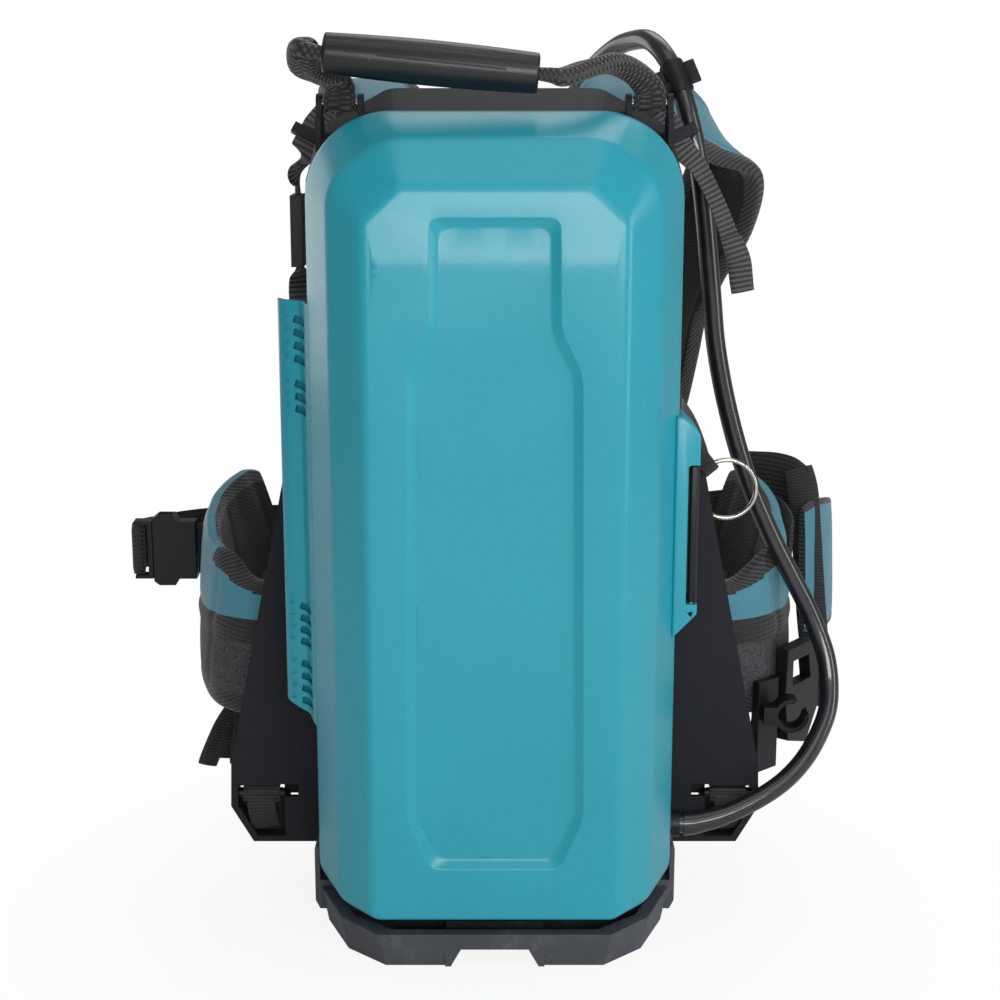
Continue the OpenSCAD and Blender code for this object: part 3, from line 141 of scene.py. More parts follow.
# %% Moulded plastic materials
def moulded_plastic(name, colour, deep, rough, grain_mm, grain_depth, edge_mm, scuff=None, gloss=0.5):
    """Clouds about 70 mm across vary the colour, grain breaks up the gloss, scuff is worn colour."""
    material, shader, node = start_material(name)
    coords = node("TexCoord").outputs["Object"]
    clouds = node("TexNoise", {"Scale": 14.0, "Detail": 4.0}, Vector=coords)
    tint = node("ValToRGB", {"stops": [(0.3, deep), (0.7, colour)]}, Fac=clouds)
    if scuff:
        marks = node("TexNoise", {"Scale": 55.0, "Detail": 8.0, "Roughness": 0.75}, Vector=coords)
        share = node("ValToRGB", {"stops": [(0.52, 0.0), (0.72, 1.0)]}, Fac=marks)
        tint = node("Mix", {"data_type": "RGBA", 7: linear(scuff)}, i0=share, i6=tint).outputs[2]
    grain = node("TexNoise", {"Scale": 1.0 / (grain_mm * MM), "Detail": 2.0}, Vector=coords)
    polish = node("ValToRGB", {"stops": [(0.3, rough - 0.05), (0.7, rough + 0.06)]}, Fac=grain)
    edge = node("Bevel", {"samples": 4, "Radius": edge_mm * MM})
    bump = node("Bump", {"Strength": grain_depth, "Distance": 0.0002}, Height=grain, Normal=edge)
    feed(shader, Base_Color=tint, Roughness=polish, Normal=bump)
    shader.inputs["IOR"].default_value = 1.5
    shader.inputs["Specular IOR Level"].default_value = gloss
    return material


# Satin, with wide soft highlights
TEAL_PLASTIC = moulded_plastic("teal_moulded_polypropylene", "#249bad", "#2297a9", 0.3, 0.6, 0.25, 0.8)
# Matt and dark, so that only its edges catch light
CHARCOAL_PLASTIC = moulded_plastic("charcoal_moulded_polypropylene", "#222429", "#1f2125", 0.58, 0.5,
                                   0.3, 0.8, gloss=0.18)
# Dull grey with paler wear, as the part that stands on the ground
FOOT_PLASTIC = moulded_plastic("grey_foot_elastomer", "#45484e", "#3d4046", 0.55, 0.8, 0.5, 1.0, "#5c6067")
# Nearly black, with a faint sheen on rounded edges
BLACK_PLASTIC = moulded_plastic("black_moulded_nylon", "#141518", "#121315", 0.4, 0.5, 0.3, 1.3, gloss=0.35)
# Smoother from use: one clear highlight runs along the barrel
GRIP_PLASTIC = moulded_plastic("black_grip_plastic", "#17181b", "#141518", 0.3, 0.45, 0.35, 0.6)
# Even dark satin, and signal red
BATTERY_PLASTIC = moulded_plastic("battery_case_abs", "#1c1d20", "#191a1c", 0.4, 0.5, 0.3, 0.7)
BUTTON_RED = moulded_plastic("red_button_abs", "#b3262a", "#a62226", 0.35, 0.5, 0.2, 0.5)
print("plastics made")

# %% [markdown]
# ## Metals, rubber and cord jacket
# The ring is nickel plated steel, screws and pins are zinc plated, and the lead has a glossy PVC
# jacket.

# %% Metal, rubber and jacket materials
def plated_metal(name, colours, rough):
    """Smears about 6 mm wide vary the colour and the gloss."""
    material, shader, node = start_material(name)
    coords = node("TexCoord").outputs["Object"]
    smears = node("TexNoise", {"Scale": 160.0, "Detail": 3.0}, Vector=coords)
    tint = node("ValToRGB", {"stops": [(0.35, colours[0]), (0.65, colours[1])]}, Fac=smears)
    polish = node("ValToRGB", {"stops": [(0.3, rough), (0.7, rough + 0.1)]}, Fac=smears)
    feed(shader, Base_Color=tint, Roughness=polish)
    shader.inputs["Metallic"].default_value = 1.0
    return material


# Bright and slightly warm; duller and bluer
NICKEL = plated_metal("nickel_plated_steel", ("#c3beb4", "#d2cdc2"), 0.16)
ZINC = plated_metal("zinc_plated_steel", ("#a8abae", "#b8bbbe"), 0.3)


def soft_jacket(name, colour, lighter, rough, coat):
    """Swirls about 14 mm across give a soft skin its uneven gloss."""
    material, shader, node = start_material(name)
    coords = node("TexCoord").outputs["Object"]
    swirl = node("TexNoise", {"Scale": 70.0, "Detail": 4.0}, Vector=coords)
    tint = node("ValToRGB", {"stops": [(0.35, colour), (0.7, lighter)]}, Fac=swirl)
    polish = node("ValToRGB", {"stops": [(0.3, rough), (0.7, rough + 0.08)]}, Fac=swirl)
    bump = node("Bump", {"Strength": 0.06, "Distance": 0.0006}, Height=swirl)
    feed(shader, Base_Color=tint, Roughness=polish, Normal=bump)
    shader.inputs["Coat Weight"].default_value = coat
    shader.inputs["Coat Roughness"].default_value = 0.08
    return material


# A long white highlight follows the lead; the seal stays dull
CORD_JACKET = soft_jacket("black_pvc_jacket", "#141519", "#1b1c20", 0.3, 0.6)
SEAL_RUBBER = soft_jacket("black_seal_rubber", "#141517", "#1b1c1f", 0.6, 0.0)
print("metals and jackets made")

# %% [markdown]
# ## Mesh helpers
# A piece is made in millimetres, written in metres and rides on a body. Rings of points are
# joined into a skin, and a flat area between two outlines is filled with triangles. Rows of a place,
# a width's direction and sizes are smoothed into a strip's or a pad's route.

# %% Mesh helpers
def select_only(*objects):
    bpy.ops.object.select_all(action="DESELECT")
    for obj in objects:
        obj.select_set(True)
    bpy.context.view_layer.objects.active = objects[0]


def finish_piece(obj, body, materials, replaces=(), angle=35.0):
    for material in materials if isinstance(materials, (list, tuple)) else [materials]:
        obj.data.materials.append(material)
    select_only(obj)
    bpy.ops.object.shade_smooth_by_angle(angle=math.radians(angle))
    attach(obj, body)
    if replaces:
        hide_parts(replaces)
    return obj


def mesh_object(name, points, faces, uvs=None):
    mesh = bpy.data.meshes.new(name)
    mesh.from_pydata([tuple(c * MM for c in p) for p in points], [], faces)
    if uvs is not None:
        layer = mesh.uv_layers.new(name="weave")
        for loop in mesh.loops:
            layer.data[loop.index].uv = uvs[loop.vertex_index]
    mesh.validate()
    obj = bpy.data.objects.new(name, mesh)
    bpy.context.scene.collection.objects.link(obj)
    return obj


def outward(obj, weld=0.0):
    """Merges points that lie closer than weld, and turns every face outwards."""
    work = bmesh.new()
    work.from_mesh(obj.data)
    if weld:
        bmesh.ops.remove_doubles(work, verts=work.verts, dist=weld * MM)
    bmesh.ops.recalc_face_normals(work, faces=work.faces)
    work.to_mesh(obj.data)
    work.free()
    return obj


def apply_modifier(obj, kind, **settings):
    select_only(obj)
    modifier = obj.modifiers.new(kind.lower(), kind)
    for name, value in settings.items():
        setattr(modifier, name, value)
    bpy.ops.object.modifier_apply(modifier=modifier.name)


def skin_faces(rings, count, closed_ends=True):
    """Faces of a skin over a number of rings with count points each."""
    faces = []
    for i in range(rings - 1):
        for k in range(count):
            a, b = i * count + k, i * count + (k + 1) % count
            faces.append((a, b, b + count, a + count))
    if closed_ends:
        faces.append(tuple(range(count - 1, -1, -1)))
        faces.append(tuple(range((rings - 1) * count, rings * count)))
    return faces


def loft(rings, closed_ends=True):
    return [p for ring in rings for p in ring], skin_faces(len(rings), len(rings[0]), closed_ends)


def prism(name, base, top, bevel=0.0, sharp=25):
    """A closed piece between two outlines; edges that turn by more than sharp degrees are rounded."""
    obj = outward(mesh_object(name, *loft([base, top])))
    if bevel:
        apply_modifier(obj, "BEVEL", width=bevel * MM, segments=3, limit_method="ANGLE",
                       angle_limit=math.radians(sharp))
    return obj


def slab(name, outline, y0, y1, bevel=0.0):
    """A piece with its outline in X and Z, from y0 to y1."""
    return prism(name, [(x, y0, z) for x, z in outline], [(x, y1, z) for x, z in outline], bevel)


def upright(name, plan, z0, z1, bevel=0.0):
    """A piece with its outline in X and Y, from z0 up to z1."""
    return prism(name, [(x, y, z0) for x, y in plan], [(x, y, z1) for x, y in plan], bevel)


def box(name, low, high, bevel=0.0):
    outline = [(low[0], low[2]), (high[0], low[2]), (high[0], high[2]), (low[0], high[2])]
    return slab(name, outline, low[1], high[1], bevel)


def rod(name, start, end, radius, sides=40, bevel=0.0):
    start, end = Vector(start), Vector(end)
    axis = (end - start).normalized()
    u = axis.orthogonal().normalized()
    v = axis.cross(u)
    turns = [2 * math.pi * k / sides for k in range(sides)]
    rings = [[tuple(p + radius * (u * math.cos(g) + v * math.sin(g))) for g in turns]
             for p in (start, end)]
    return prism(name, *rings, bevel, 50)


def join(parts, name):
    select_only(*parts)
    bpy.ops.object.join()
    parts[0].name = name
    return parts[0]


def cut(obj, *tools):
    for tool in tools:
        apply_modifier(obj, "BOOLEAN", operation="DIFFERENCE", object=tool, solver="EXACT")
        bpy.data.objects.remove(tool)


def turn_about(obj, place, angles):
    """Turns a mesh made round the origin and moves it to a place; the object itself stays put."""
    turn = Euler([math.radians(a) for a in angles], "XYZ").to_matrix().to_4x4()
    obj.data.transform(Matrix.Translation([c * MM for c in place]) @ turn)
    return obj


def tube_curve(name, places, radius, resolution):
    """A round cord through places in metres."""
    curve = bpy.data.curves.new(name, "CURVE")
    curve.dimensions = "3D"
    curve.bevel_depth = radius * MM
    curve.bevel_resolution = resolution
    spline = curve.splines.new("POLY")
    spline.points.add(len(places) - 1)
    for point, place in zip(spline.points, places):
        point.co = (*place, 1.0)
    obj = bpy.data.objects.new(name, curve)
    bpy.context.scene.collection.objects.link(obj)
    return obj


def signed_power(value, power):
    return math.copysign(abs(value) ** power, value)


def smooth_rows(rows, steps):
    """Catmull-Rom rows through the given rows, of places or of places with sizes."""
    rows = np.array(rows, dtype=float)
    out = []
    for i in range(len(rows) - 1):
        a, b, c, d = rows[max(i - 1, 0)], rows[i], rows[i + 1], rows[min(i + 2, len(rows) - 1)]
        for j in range(steps):
            t = j / steps
            out.append(0.5 * (2 * b + (c - a) * t + (2 * a - 5 * b + 4 * c - d) * t * t
                              + (3 * b - a - 3 * c + d) * t ** 3))
    out.append(rows[-1])
    return np.array(out)


def inside(p, ring):
    hit = False
    for (x0, z0), (x1, z1) in zip(ring, ring[1:] + ring[:1]):
        if (z0 > p[1]) != (z1 > p[1]) and p[0] < (x1 - x0) * (p[1] - z0) / (z1 - z0) + x0:
            hit = not hit
    return hit


def fill_between(outer, inner, height, lines=()):
    """Triangles of a flat area from an outer outline in to an inner one; lines are heights of
    extra rows of points. Returns points (x, y, z) and faces."""
    def within(p):
        return inside(p, outer) and not (inner and inside(p, inner))

    flat = [Vector(p) for p in outer] + [Vector(p) for p in inner]
    edges = [(k, (k + 1) % len(outer)) for k in range(len(outer))]
    edges += [(len(outer) + k, len(outer) + (k + 1) % len(inner)) for k in range(len(inner))]
    flat += [Vector((x, z)) for z in lines for x in np.linspace(-74, 74, 38) if within((x, z))]
    points, _edges, faces = delaunay_2d_cdt(flat, edges, [], 0, 1e-4)[:3]
    kept = [tuple(face) for face in faces
            if within(sum((points[i] for i in face), Vector((0, 0))) / len(face))]
    return [(p[0], height(p[0], p[1]), p[1]) for p in points], kept


# %% [markdown]
# ## Supply lead
# The lead is a curve along its route, with a tapered sleeve where it leaves the gland and another
# where it enters the plug.

# %% Lead
cord_line = smooth_rows(CORD_ROUTE, 6)
lead = tube_curve("power_lead", cord_line * MM, CORD_D / 2, 10)
lead.data.use_fill_caps = True
lead.data.splines[0].use_smooth = True
lead.data.materials.append(CORD_JACKET)
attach(lead, "case")
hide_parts("power_cord")


def sleeve(name, start, end, radii, ring=0.5, material=SEAL_RUBBER):
    """A tapered sleeve round the lead between two points of its line; ring is its rings' height."""
    rings = []
    count = end - start
    for i in range(start, end + 1):
        place = cord_line[i]
        tangent = cord_line[min(i + 1, len(cord_line) - 1)] - cord_line[max(i - 1, 0)]
        tangent /= np.linalg.norm(tangent)
        side = np.cross(tangent, (0.3, 0.9, 0.2))
        side /= np.linalg.norm(side)
        other = np.cross(tangent, side)
        t = (i - start) / count
        radius = radii[0] * (1 - t) + radii[1] * t + (ring if (i - start) % 3 == 1 else 0.0)
        rings.append([tuple(place + radius * (side * math.cos(g) + other * math.sin(g)))
                      for g in np.linspace(0, 2 * math.pi, 28, endpoint=False)])
    return finish_piece(outward(mesh_object(name, *loft(rings))), "case", material, (), 40.0)


sleeve("gland_sleeve", 3, 19, (8.2, 6.8), 0.0, CORD_JACKET)
plug_sleeve = sleeve("plug_sleeve", len(cord_line) - 7, len(cord_line) - 1, (7.0, 8.6))

# %% [markdown]
# ## Front cover
# The cover is a faceted bowl. Its outline has six rounded corners at the rim, on the shoulder and
# round the flat front, and soft edges run between them. Above the crease the front leans back by
# five and a half degrees, and the long recess in the middle follows it with sloped walls.

# %% Front cover
RIM = [(100, 45, 14), (63, 470, 51), (62, 470.4, 51)]
SHOULDER = [(88, 41, 10), (66, 466, 32), (52, 473, 34)]
FACE_Y = -70
FRONT = [(69, 39, 8), (69, 457, 8), (52, 473, 8)]
FRONT_FLAT = [(69, 39, 3.5), (69, 457, 3.5), (52, 473, 3.5)]
CREASE = 437.0
LEAN = math.tan(math.radians(5.5))


def outline(corners, arc=9, along=8):
    """An outline round six circles: equal counts, so that ridges run from set to set."""
    circles = corners + [(-x, z, r) for x, z, r in reversed(corners)]
    count = len(circles)
    normals = []
    for k in range(count):
        (x0, z0, r0), (x1, z1, r1) = circles[k], circles[(k + 1) % count]
        gap = math.hypot(x1 - x0, z1 - z0)
        normals.append(math.atan2(z1 - z0, x1 - x0) - math.pi / 2 + math.asin((r0 - r1) / gap))
    points = []
    for k in range(count):
        x, z, r = circles[k]
        first, last = normals[k - 1], normals[k]
        while last < first:
            last += 2 * math.pi
        turns = [first + (last - first) * i / arc for i in range(arc + 1)]
        ring = [(x + r * math.cos(g), z + r * math.sin(g)) for g in turns]
        points += ring
        x1, z1, r1 = circles[(k + 1) % count]
        start, end = ring[-1], (x1 + r1 * math.cos(last), z1 + r1 * math.sin(last))
        points += [(start[0] + (end[0] - start[0]) * i / along,
                    start[1] + (end[1] - start[1]) * i / along) for i in range(1, along)]
    return points


def crease_back(z):
    """How far the front lies back at a height, with a soft crease."""
    t = (z - CREASE) / 1.6
    return LEAN * 1.6 * (t if t > 30 else math.log1p(math.exp(t)))


def round_path(stops, radius, steps):
    """Rings through stops of (outline, depth); inner stops are rounded over."""
    def mix(a, b, t):
        return [tuple(p + (q - p) * t for p, q in zip(u, v)) for u, v in zip(a, b)]

    rings = [stops[0]]
    for i in range(1, len(stops) - 1):
        a, b, c = stops[i - 1], stops[i], stops[i + 1]
        before, after = mix(b, a, radius[i - 1][0]), mix(b, c, radius[i - 1][1])
        for k in range(steps + 1):
            t = k / steps
            rings.append(mix(mix(before, b, t), mix(b, after, t), t))
    rings.append(stops[-1])
    return rings


def ring_at(corners, y, grow=0.0, lean=False):
    flat = outline([(x, z, r + grow) for x, z, r in corners])
    return [(x, y + (crease_back(z) if lean else 0.0), z) for x, z in flat]


cover_rings = round_path(
    [ring_at(RIM, -0.6), ring_at(RIM, -7.5), ring_at(SHOULDER, -46),
     ring_at(FRONT, FACE_Y, -0.5, True), ring_at(FRONT_FLAT, FACE_Y, 0.0, True)],
    [(0.5, 0.08), (0.1, 0.15), (0.14, 0.9)], 5)


def recess_corners(grow):
    half = [(40 + grow, 66 - grow), (54 + grow, 99), (51 + grow, 373 + grow / 2),
            (38.3 + grow, 399 + grow / 2), (37.5 + grow, 463 + grow)]
    return half + [(-x, z) for x, z in reversed(half)]


def rounded(corners, reach, steps=5, along=10):
    points = []
    count = len(corners)
    for k in range(count):
        a, b, c = (Vector(corners[(k + j) % count]) for j in (-1, 0, 1))
        e0, e1 = min(reach, (a - b).length * 0.45), min(reach, (c - b).length * 0.45)
        p, q = b + (a - b).normalized() * e0, b + (c - b).normalized() * e1
        for i in range(steps + 1):
            t = i / steps
            points.append(p.lerp(b, t).lerp(b.lerp(q, t), t))
        d = Vector(corners[(k + 2) % count])
        e2 = min(reach, (b - c).length * 0.45)
        r = c + (b - c).normalized() * e2
        points += [q.lerp(r, i / along) for i in range(1, along)]
    return [(p[0], p[1]) for p in points]


# How far the outline grows at each depth below the face, from the lip to the recess's floor
recess_profile = [(0.6, 0.0), (0.2, 0.05), (-0.3, 0.35), (-0.8, 0.8), (-4.2, 2.75), (-4.9, 3.2),
                  (-5.6, 3.42), (-6.4, 3.5)]
recess_depth = recess_profile[-1][1]
recess_rings = [[(x, FACE_Y + depth + crease_back(z), z) for x, z in rounded(recess_corners(grow), 7)]
                for grow, depth in recess_profile]
crease_rows = [431.5, 433.5, 435, 436.2, 437, 437.8, 439, 440.5, 442.5]
front_points, front_faces = fill_between(
    [(p[0], p[2]) for p in cover_rings[-1]], [(p[0], p[2]) for p in recess_rings[0]],
    lambda x, z: FACE_Y + crease_back(z), crease_rows)
floor_points, floor_faces = fill_between(
    [(p[0], p[2]) for p in recess_rings[-1]], [],
    lambda x, z: FACE_Y + recess_depth + crease_back(z), crease_rows)
cover = join([mesh_object("cover_shell", *loft(cover_rings, False)),
              mesh_object("cover_face", front_points, front_faces),
              mesh_object("cover_recess", *loft(recess_rings, False)),
              mesh_object("cover_recess_floor", floor_points, floor_faces)], "cover_shell")
outward(cover, 0.02)
floor_middle = Vector((0, FACE_Y + recess_depth, 250)) * MM
if min(cover.data.polygons, key=lambda f: (f.center - floor_middle).length).normal.y > 0:
    cover.data.flip_normals()
apply_modifier(cover, "SOLIDIFY", thickness=2.6 * MM, offset=-1.0, use_even_offset=False)
finish_piece(cover, "cover", TEAL_PLASTIC, "front_cover", 28.0)
print("cover faces", len(cover.data.polygons))

# %% [markdown]
# ## Skirt and knuckles
# On the left a louvred skirt hides the hinge: a short wall leaves the cover's side, turns out into
# a flange and turns again along the hinge. Slanted louvres are cut through the corner, with a small
# rib above each. Four knuckles turn round the hinge pin behind it.

# %% Skirt
HINGE = (-129.0, 26.0)
LOUVRES = [392.1, 383.9, 375.6, 367.4, 351.6, 343.6, 335.8, 207.6, 199.8, 191.9, 184.1, 169.1, 160.7,
           152.3, 144.1]
outer_plan = [(-110, -13), (-114.5, -5), (-117.5, 3), (-119, 9.5), (-121, 12), (-127, 14), (-131.5, 17.2),
              (-134.4, 20.5), (-135.4, 24), (-135.5, 26)]
inner_plan = [(-133.1, 26), (-132.8, 23.6), (-130.4, 20.2), (-126, 17), (-120, 14.8), (-117.2, 12.2),
              (-115.8, 8), (-114.9, 3), (-114.8, -0.6), (-112.5, -4)]
skirt = upright("cover_skirt", outer_plan + inner_plan, 134, 406.5)
slots = [turn_about(box("slot", (-5.6, -8, -2.3), (5.6, 8, 2.3), 0.8), (-118.2, 9.5, z + 1.6), (0, 16, 12))
         for z in LOUVRES]
cut(skirt, join(slots, "slots"))
liner = upright("skirt_liner", [(-114.9, 17.8), (-126.5, 18.6), (-129.5, 20.6), (-129.3, 21.4),
                                (-126, 19.8), (-114.9, 19.0)], 134.4, 405.5)
for wall in (skirt, liner):
    foot_cut = box("foot_cut", (-14, -40, -40), (60, 40, 0))
    cut(wall, turn_about(foot_cut, (-137.5, 13, 146.5), (0, 24, 0)))
ribs = [turn_about(box("rib", (-3.4, -0.8, -0.55), (3.4, 0.8, 0.55), 0.4), (-129.2, 15.1, z + 4.0),
                   (0, 14, 35)) for z in LOUVRES]
finish_piece(join([skirt, liner] + ribs, "cover_skirt"), "cover", TEAL_PLASTIC, "front_cover", 30.0)

EYE_R, BORE_R, KNUCKLE_H = 4.0, 2.06, 26


def knuckle_ring(z, bore):
    """A round eye whose lower half runs out into a flat web, which stays inside the skirt; or the
    bore in it."""
    ring = []
    for k in range(48):
        c, s = math.cos(2 * math.pi * k / 48), math.sin(2 * math.pi * k / 48)
        reach = EYE_R if s >= 0 else min(EYE_R / max(abs(c), 1e-6), 10.5 / abs(s))
        if s < 0 and c < 0:
            reach = min(reach, 10.0 / (abs(s) + 1.125 * abs(c)))
        reach = BORE_R if bore else reach
        ring.append((HINGE[0] + reach * c, HINGE[1] + reach * s, z))
    return ring


knuckles = []
for z in (160, 222, 284, 346):
    rings = [knuckle_ring(z + up, bore) for up, bore in (
        (0, False), (KNUCKLE_H, False), (KNUCKLE_H, True), (0, True), (0, False))]
    knuckles.append(outward(mesh_object("knuckle", *loft(rings, False))))
finish_piece(outward(join(knuckles, "cover_knuckles"), 0.02), "cover", TEAL_PLASTIC, "front_cover")

# %% [markdown]
# ## Latch boss and lever
# A bevelled boss stands on the cover's right side. The ribbed lever turns on a pin in its pocket.

# %% Latch boss and lever
boss = slab("cover_latch_boss", [(111, 197), (126.5, 213), (126.5, 327), (123.5, 331.5), (117, 338),
                                 (111, 339)], -16, 16, 1.6)
shell_side = box("side", (100, -0.6, 190), (114.8, 21, 345))
pocket = box("pocket", (119.2, -17, 219.6), (140, 17, 308.4), 0.8)
drain = rod("drain", (122.2, -30, 213.6), (122.2, 30, 213.6), 2.3, 3)
pin_hole = rod("pin_hole", (123, -10.4, 216), (123, -10.4, 320), 1.5, 24)
cut(boss, shell_side, pocket, drain, pin_hole)
floor_block = box("floor_block", (114.9, -7, 219), (119.2, 16, 309), 0.5)
finish_piece(join([boss, floor_block], "cover_latch_boss"), "cover", TEAL_PLASTIC, "front_cover", 30.0)
lever_plan = [(120.9, -13), (121.6, -14), (125, -14), (125.9, -13), (127.2, -6), (127.2, 9), (128.8, 14),
              (126.4, 15.4), (123.1, 12), (122.2, -8.4), (120.9, -10)]
lever = upright("latch_lever_body", lever_plan, 220.4, 307.6, 0.7)
grooves = [rod("groove", (127.7, y, 232), (127.7, y, 296), 0.8, 12) for y in (-4, -1.4, 1.2, 3.8, 6.4)]
cut(lever, join(grooves, "grooves"), rod("lever_bore", (123, -10.4, 200), (123, -10.4, 330), 1.56, 24))
finish_piece(lever, "latch", BLACK_PLASTIC, "latch_lever", 30.0)
print("skirt, boss and lever made")

# %% [markdown]
# ## Carry handle
# The grip is a barrel of hard plastic, thinner towards its ends, with three raised lines and a
# mould seam.

# %% Grip
GRIP_LEFT, GRIP_RIGHT = Vector((-101, -10, 555)), Vector((26, -10, 543))
grip_axis = (GRIP_RIGHT - GRIP_LEFT).normalized()
grip_up = (Vector((0, 0, 1)) - grip_axis * grip_axis.z).normalized()
grip_side = grip_axis.cross(grip_up)


def grip_point(t, angle, lift=0.0):
    """t runs from -1 to 1 along the grip; the angle starts at the front and goes up."""
    middle = (GRIP_LEFT + GRIP_RIGHT) / 2 + grip_axis * (t * (GRIP_RIGHT - GRIP_LEFT).length / 2)
    radius = 13.25 * (0.88 + 0.12 * math.cos(math.radians(t * 85)))
    end = max(0.0, abs(t) - 0.975) / 0.025
    radius -= 2.2 * end ** 3
    around = grip_side * math.cos(angle) + grip_up * math.sin(angle)
    return middle + around * (radius + lift)


stations = [-1, -0.998, -0.993, -0.985, -0.975] + list(np.linspace(-0.95, 0.95, 39)) \
    + [0.975, 0.985, 0.993, 0.998, 1]
grip_rings = [[tuple(grip_point(t, 2 * math.pi * k / 72)) for k in range(72)] for t in stations]
grip = outward(mesh_object("grip_barrel", *loft(grip_rings)))
front = math.atan2(-grip_up.dot(Vector((0, 1, 0))), -grip_side.dot(Vector((0, 1, 0))))
lines = []
for path in ([(-0.93, 0.62), (-0.8, 0.62), (-0.68, 0.86), (-0.6, 0.9)],
             [(-0.47, 0.66), (-0.2, 0.64), (0.2, 0.62), (0.62, 0.6)],
             [(-0.37, 0.84), (0.0, 0.83), (0.3, 0.82), (0.55, 0.8)],
             [(-0.5, 0.1), (0.0, 0.08), (0.5, 0.06), (0.7, 0.05)]):
    dense = [(t0 + (t1 - t0) * i / 8, a0 + (a1 - a0) * i / 8)
             for (t0, a0), (t1, a1) in zip(path, path[1:]) for i in range(8)] + [path[-1]]
    line = tube_curve("line", [grip_point(t, front + a, 0.02) * MM for t, a in dense], 0.28, 2)
    select_only(line)
    bpy.ops.object.convert(target="MESH")
    lines.append(bpy.context.view_layer.objects.active)
finish_piece(join([grip] + lines, "grip_barrel"), "carry_handle", GRIP_PLASTIC, "handle_grip", 40.0)
print("grip made")

# %% [markdown]
# ## Woven materials
# Webbing is coarse nylon with ribs across its length. The outside of the pads is teal oxford nylon
# with a fine basket weave, their inside is black air mesh, and their edges are bound in twill tape.
# All weaves use the piece's own UV map, which is laid out in metres.

# %% Fabric materials
WAVE_PITCH = 0.31416  # metres from band to band of a wave texture at scale 1


def woven(name, dark, light, along_mm, across_mm, depth, rough, sheen, wrinkle_mm=0.0, slant=0.0,
          cross=0.45):
    """Ribs of along_mm down the length, crossed by yarns of across_mm; slant turns them to twill.
    Fuzz of about 1 mm roughens them, soil of about 30 mm dulls them, and wrinkles are soft folds."""
    material, shader, node = start_material(name)
    place = node("TexCoord")
    solid, coords = place.outputs["Object"], place.outputs["UV"]
    if slant:
        coords = node("Mapping", {"Rotation": (0.0, 0.0, math.radians(slant))}, Vector=coords)
    ribs, yarns = [
        node("TexWave", {"wave_type": "BANDS", "bands_direction": direction, "Distortion": 0.0,
                         "Scale": WAVE_PITCH / (pitch * MM)}, Vector=coords).outputs["Fac"]
        for direction, pitch in (("Y", along_mm), ("X", across_mm))]
    crossed = node("Math", {"operation": "MULTIPLY_ADD", 1: cross, 2: 1.0 - cross}, i0=yarns)
    weave = node("Math", {"operation": "MULTIPLY"}, i0=ribs, i1=crossed)
    fuzz = node("TexNoise", {"Scale": 900.0, "Detail": 3.0}, Vector=solid)
    height = node("Math", {"operation": "MULTIPLY_ADD", 1: 0.35}, i0=fuzz, i2=weave)
    soil = node("TexNoise", {"Scale": 35.0, "Detail": 5.0}, Vector=solid)
    dust = node("Math", {"operation": "MULTIPLY", 1: 0.3}, i0=soil)
    shade = node("Math", {"operation": "MULTIPLY_ADD", 1: 0.75}, i0=weave, i2=dust)
    # The ramp's pale end on the rib tops is partly painted highlight, and its dark end between yarns partly
    # painted shade, besides the yarns' own tone.
    tint = node("ValToRGB", {"stops": [(0.15, dark), (0.85, light)]}, Fac=shade)
    under = {}
    if wrinkle_mm:
        folds = node("TexNoise", {"Scale": 1.0 / (wrinkle_mm * MM), "Detail": 3.0, "Distortion": 0.6},
                     Vector=solid)
        under["Normal"] = node("Bump", {"Strength": 0.5, "Distance": 0.0025}, Height=folds)
    bump = node("Bump", {"Strength": 0.8, "Distance": depth * MM}, Height=height, **under)
    feed(shader, Base_Color=tint, Normal=bump)
    shader.inputs["Roughness"].default_value = rough
    shader.inputs["Sheen Weight"].default_value = sheen
    shader.inputs["Sheen Roughness"].default_value = 0.45
    return material


# On the black webbings, braid and tape the pale colour of the ribs is mostly painted highlight.
# Plain webbing, coarser ribs that show from afar, and the belt with ribs along its length
WEBBING = woven("black_nylon_webbing", "#0a0a0b", "#2c2b2e", 2.2, 1.1, 0.5, 0.6, 0.2)
RIBBED = woven("grey_ribbed_webbing", "#101011", "#565458", 3.3, 1.2, 0.8, 0.55, 0.2, cross=0.2)
WAIST_WEBBING = woven("black_ribbed_webbing", "#09090a", "#29282b", 1.4, 3.4, 0.6, 0.6, 0.2, cross=0.8)
# Braid and twill tape, turned so that their yarns run slantwise
ROPE = woven("black_braided_webbing", "#0b0b0c", "#4a4748", 2.3, 2.3, 0.9, 0.7, 0.3, slant=45.0, cross=0.9)
BINDING = woven("black_twill_binding", "#0d0d0e", "#424144", 2.4, 1.6, 0.6, 0.7, 0.25, slant=52.0, cross=0.3)
# Oxford nylon is drawn at 0.8 mm, about twice its real pitch, to show at all; its folds are soft
TEAL_NYLON = woven("teal_oxford_nylon", "#2a7082", "#5397aa", 0.8, 0.8, 0.16, 0.42, 0.2, wrinkle_mm=26.0)
# Spacer mesh: deep black holes between dull yarns
BLACK_MESH = woven("black_air_mesh", "#080809", "#1d1c1e", 2.6, 2.6, 0.5, 0.85, 0.15, wrinkle_mm=30.0,
                   slant=45.0)


def pebbled(name, dark, light):
    """Vinyl with an embossed grain of about 1.6 mm, pale on its tops."""
    material, shader, node = start_material(name)
    coords = node("TexCoord").outputs["Object"]
    cells = node("TexVoronoi", {"feature": "F1", "Scale": 620.0}, Vector=coords)
    tint = node("ValToRGB", {"stops": [(0.1, light), (0.8, dark)]}, Fac=cells)
    bump = node("Bump", {"Strength": 0.7, "Distance": 0.0004, "invert": True}, Height=cells)
    feed(shader, Base_Color=tint, Normal=bump)
    shader.inputs["Roughness"].default_value = 0.55
    return material


PEBBLED = pebbled("grey_pebbled_vinyl", "#232326", "#4a4b4f")
print("fabrics made")

# %% [markdown]
# ## Webbing
# Each strip follows the route of its solid and replaces it. Rows give the middle, the direction of
# the width, the width and the thickness; the strip between them has rounded selvedges.

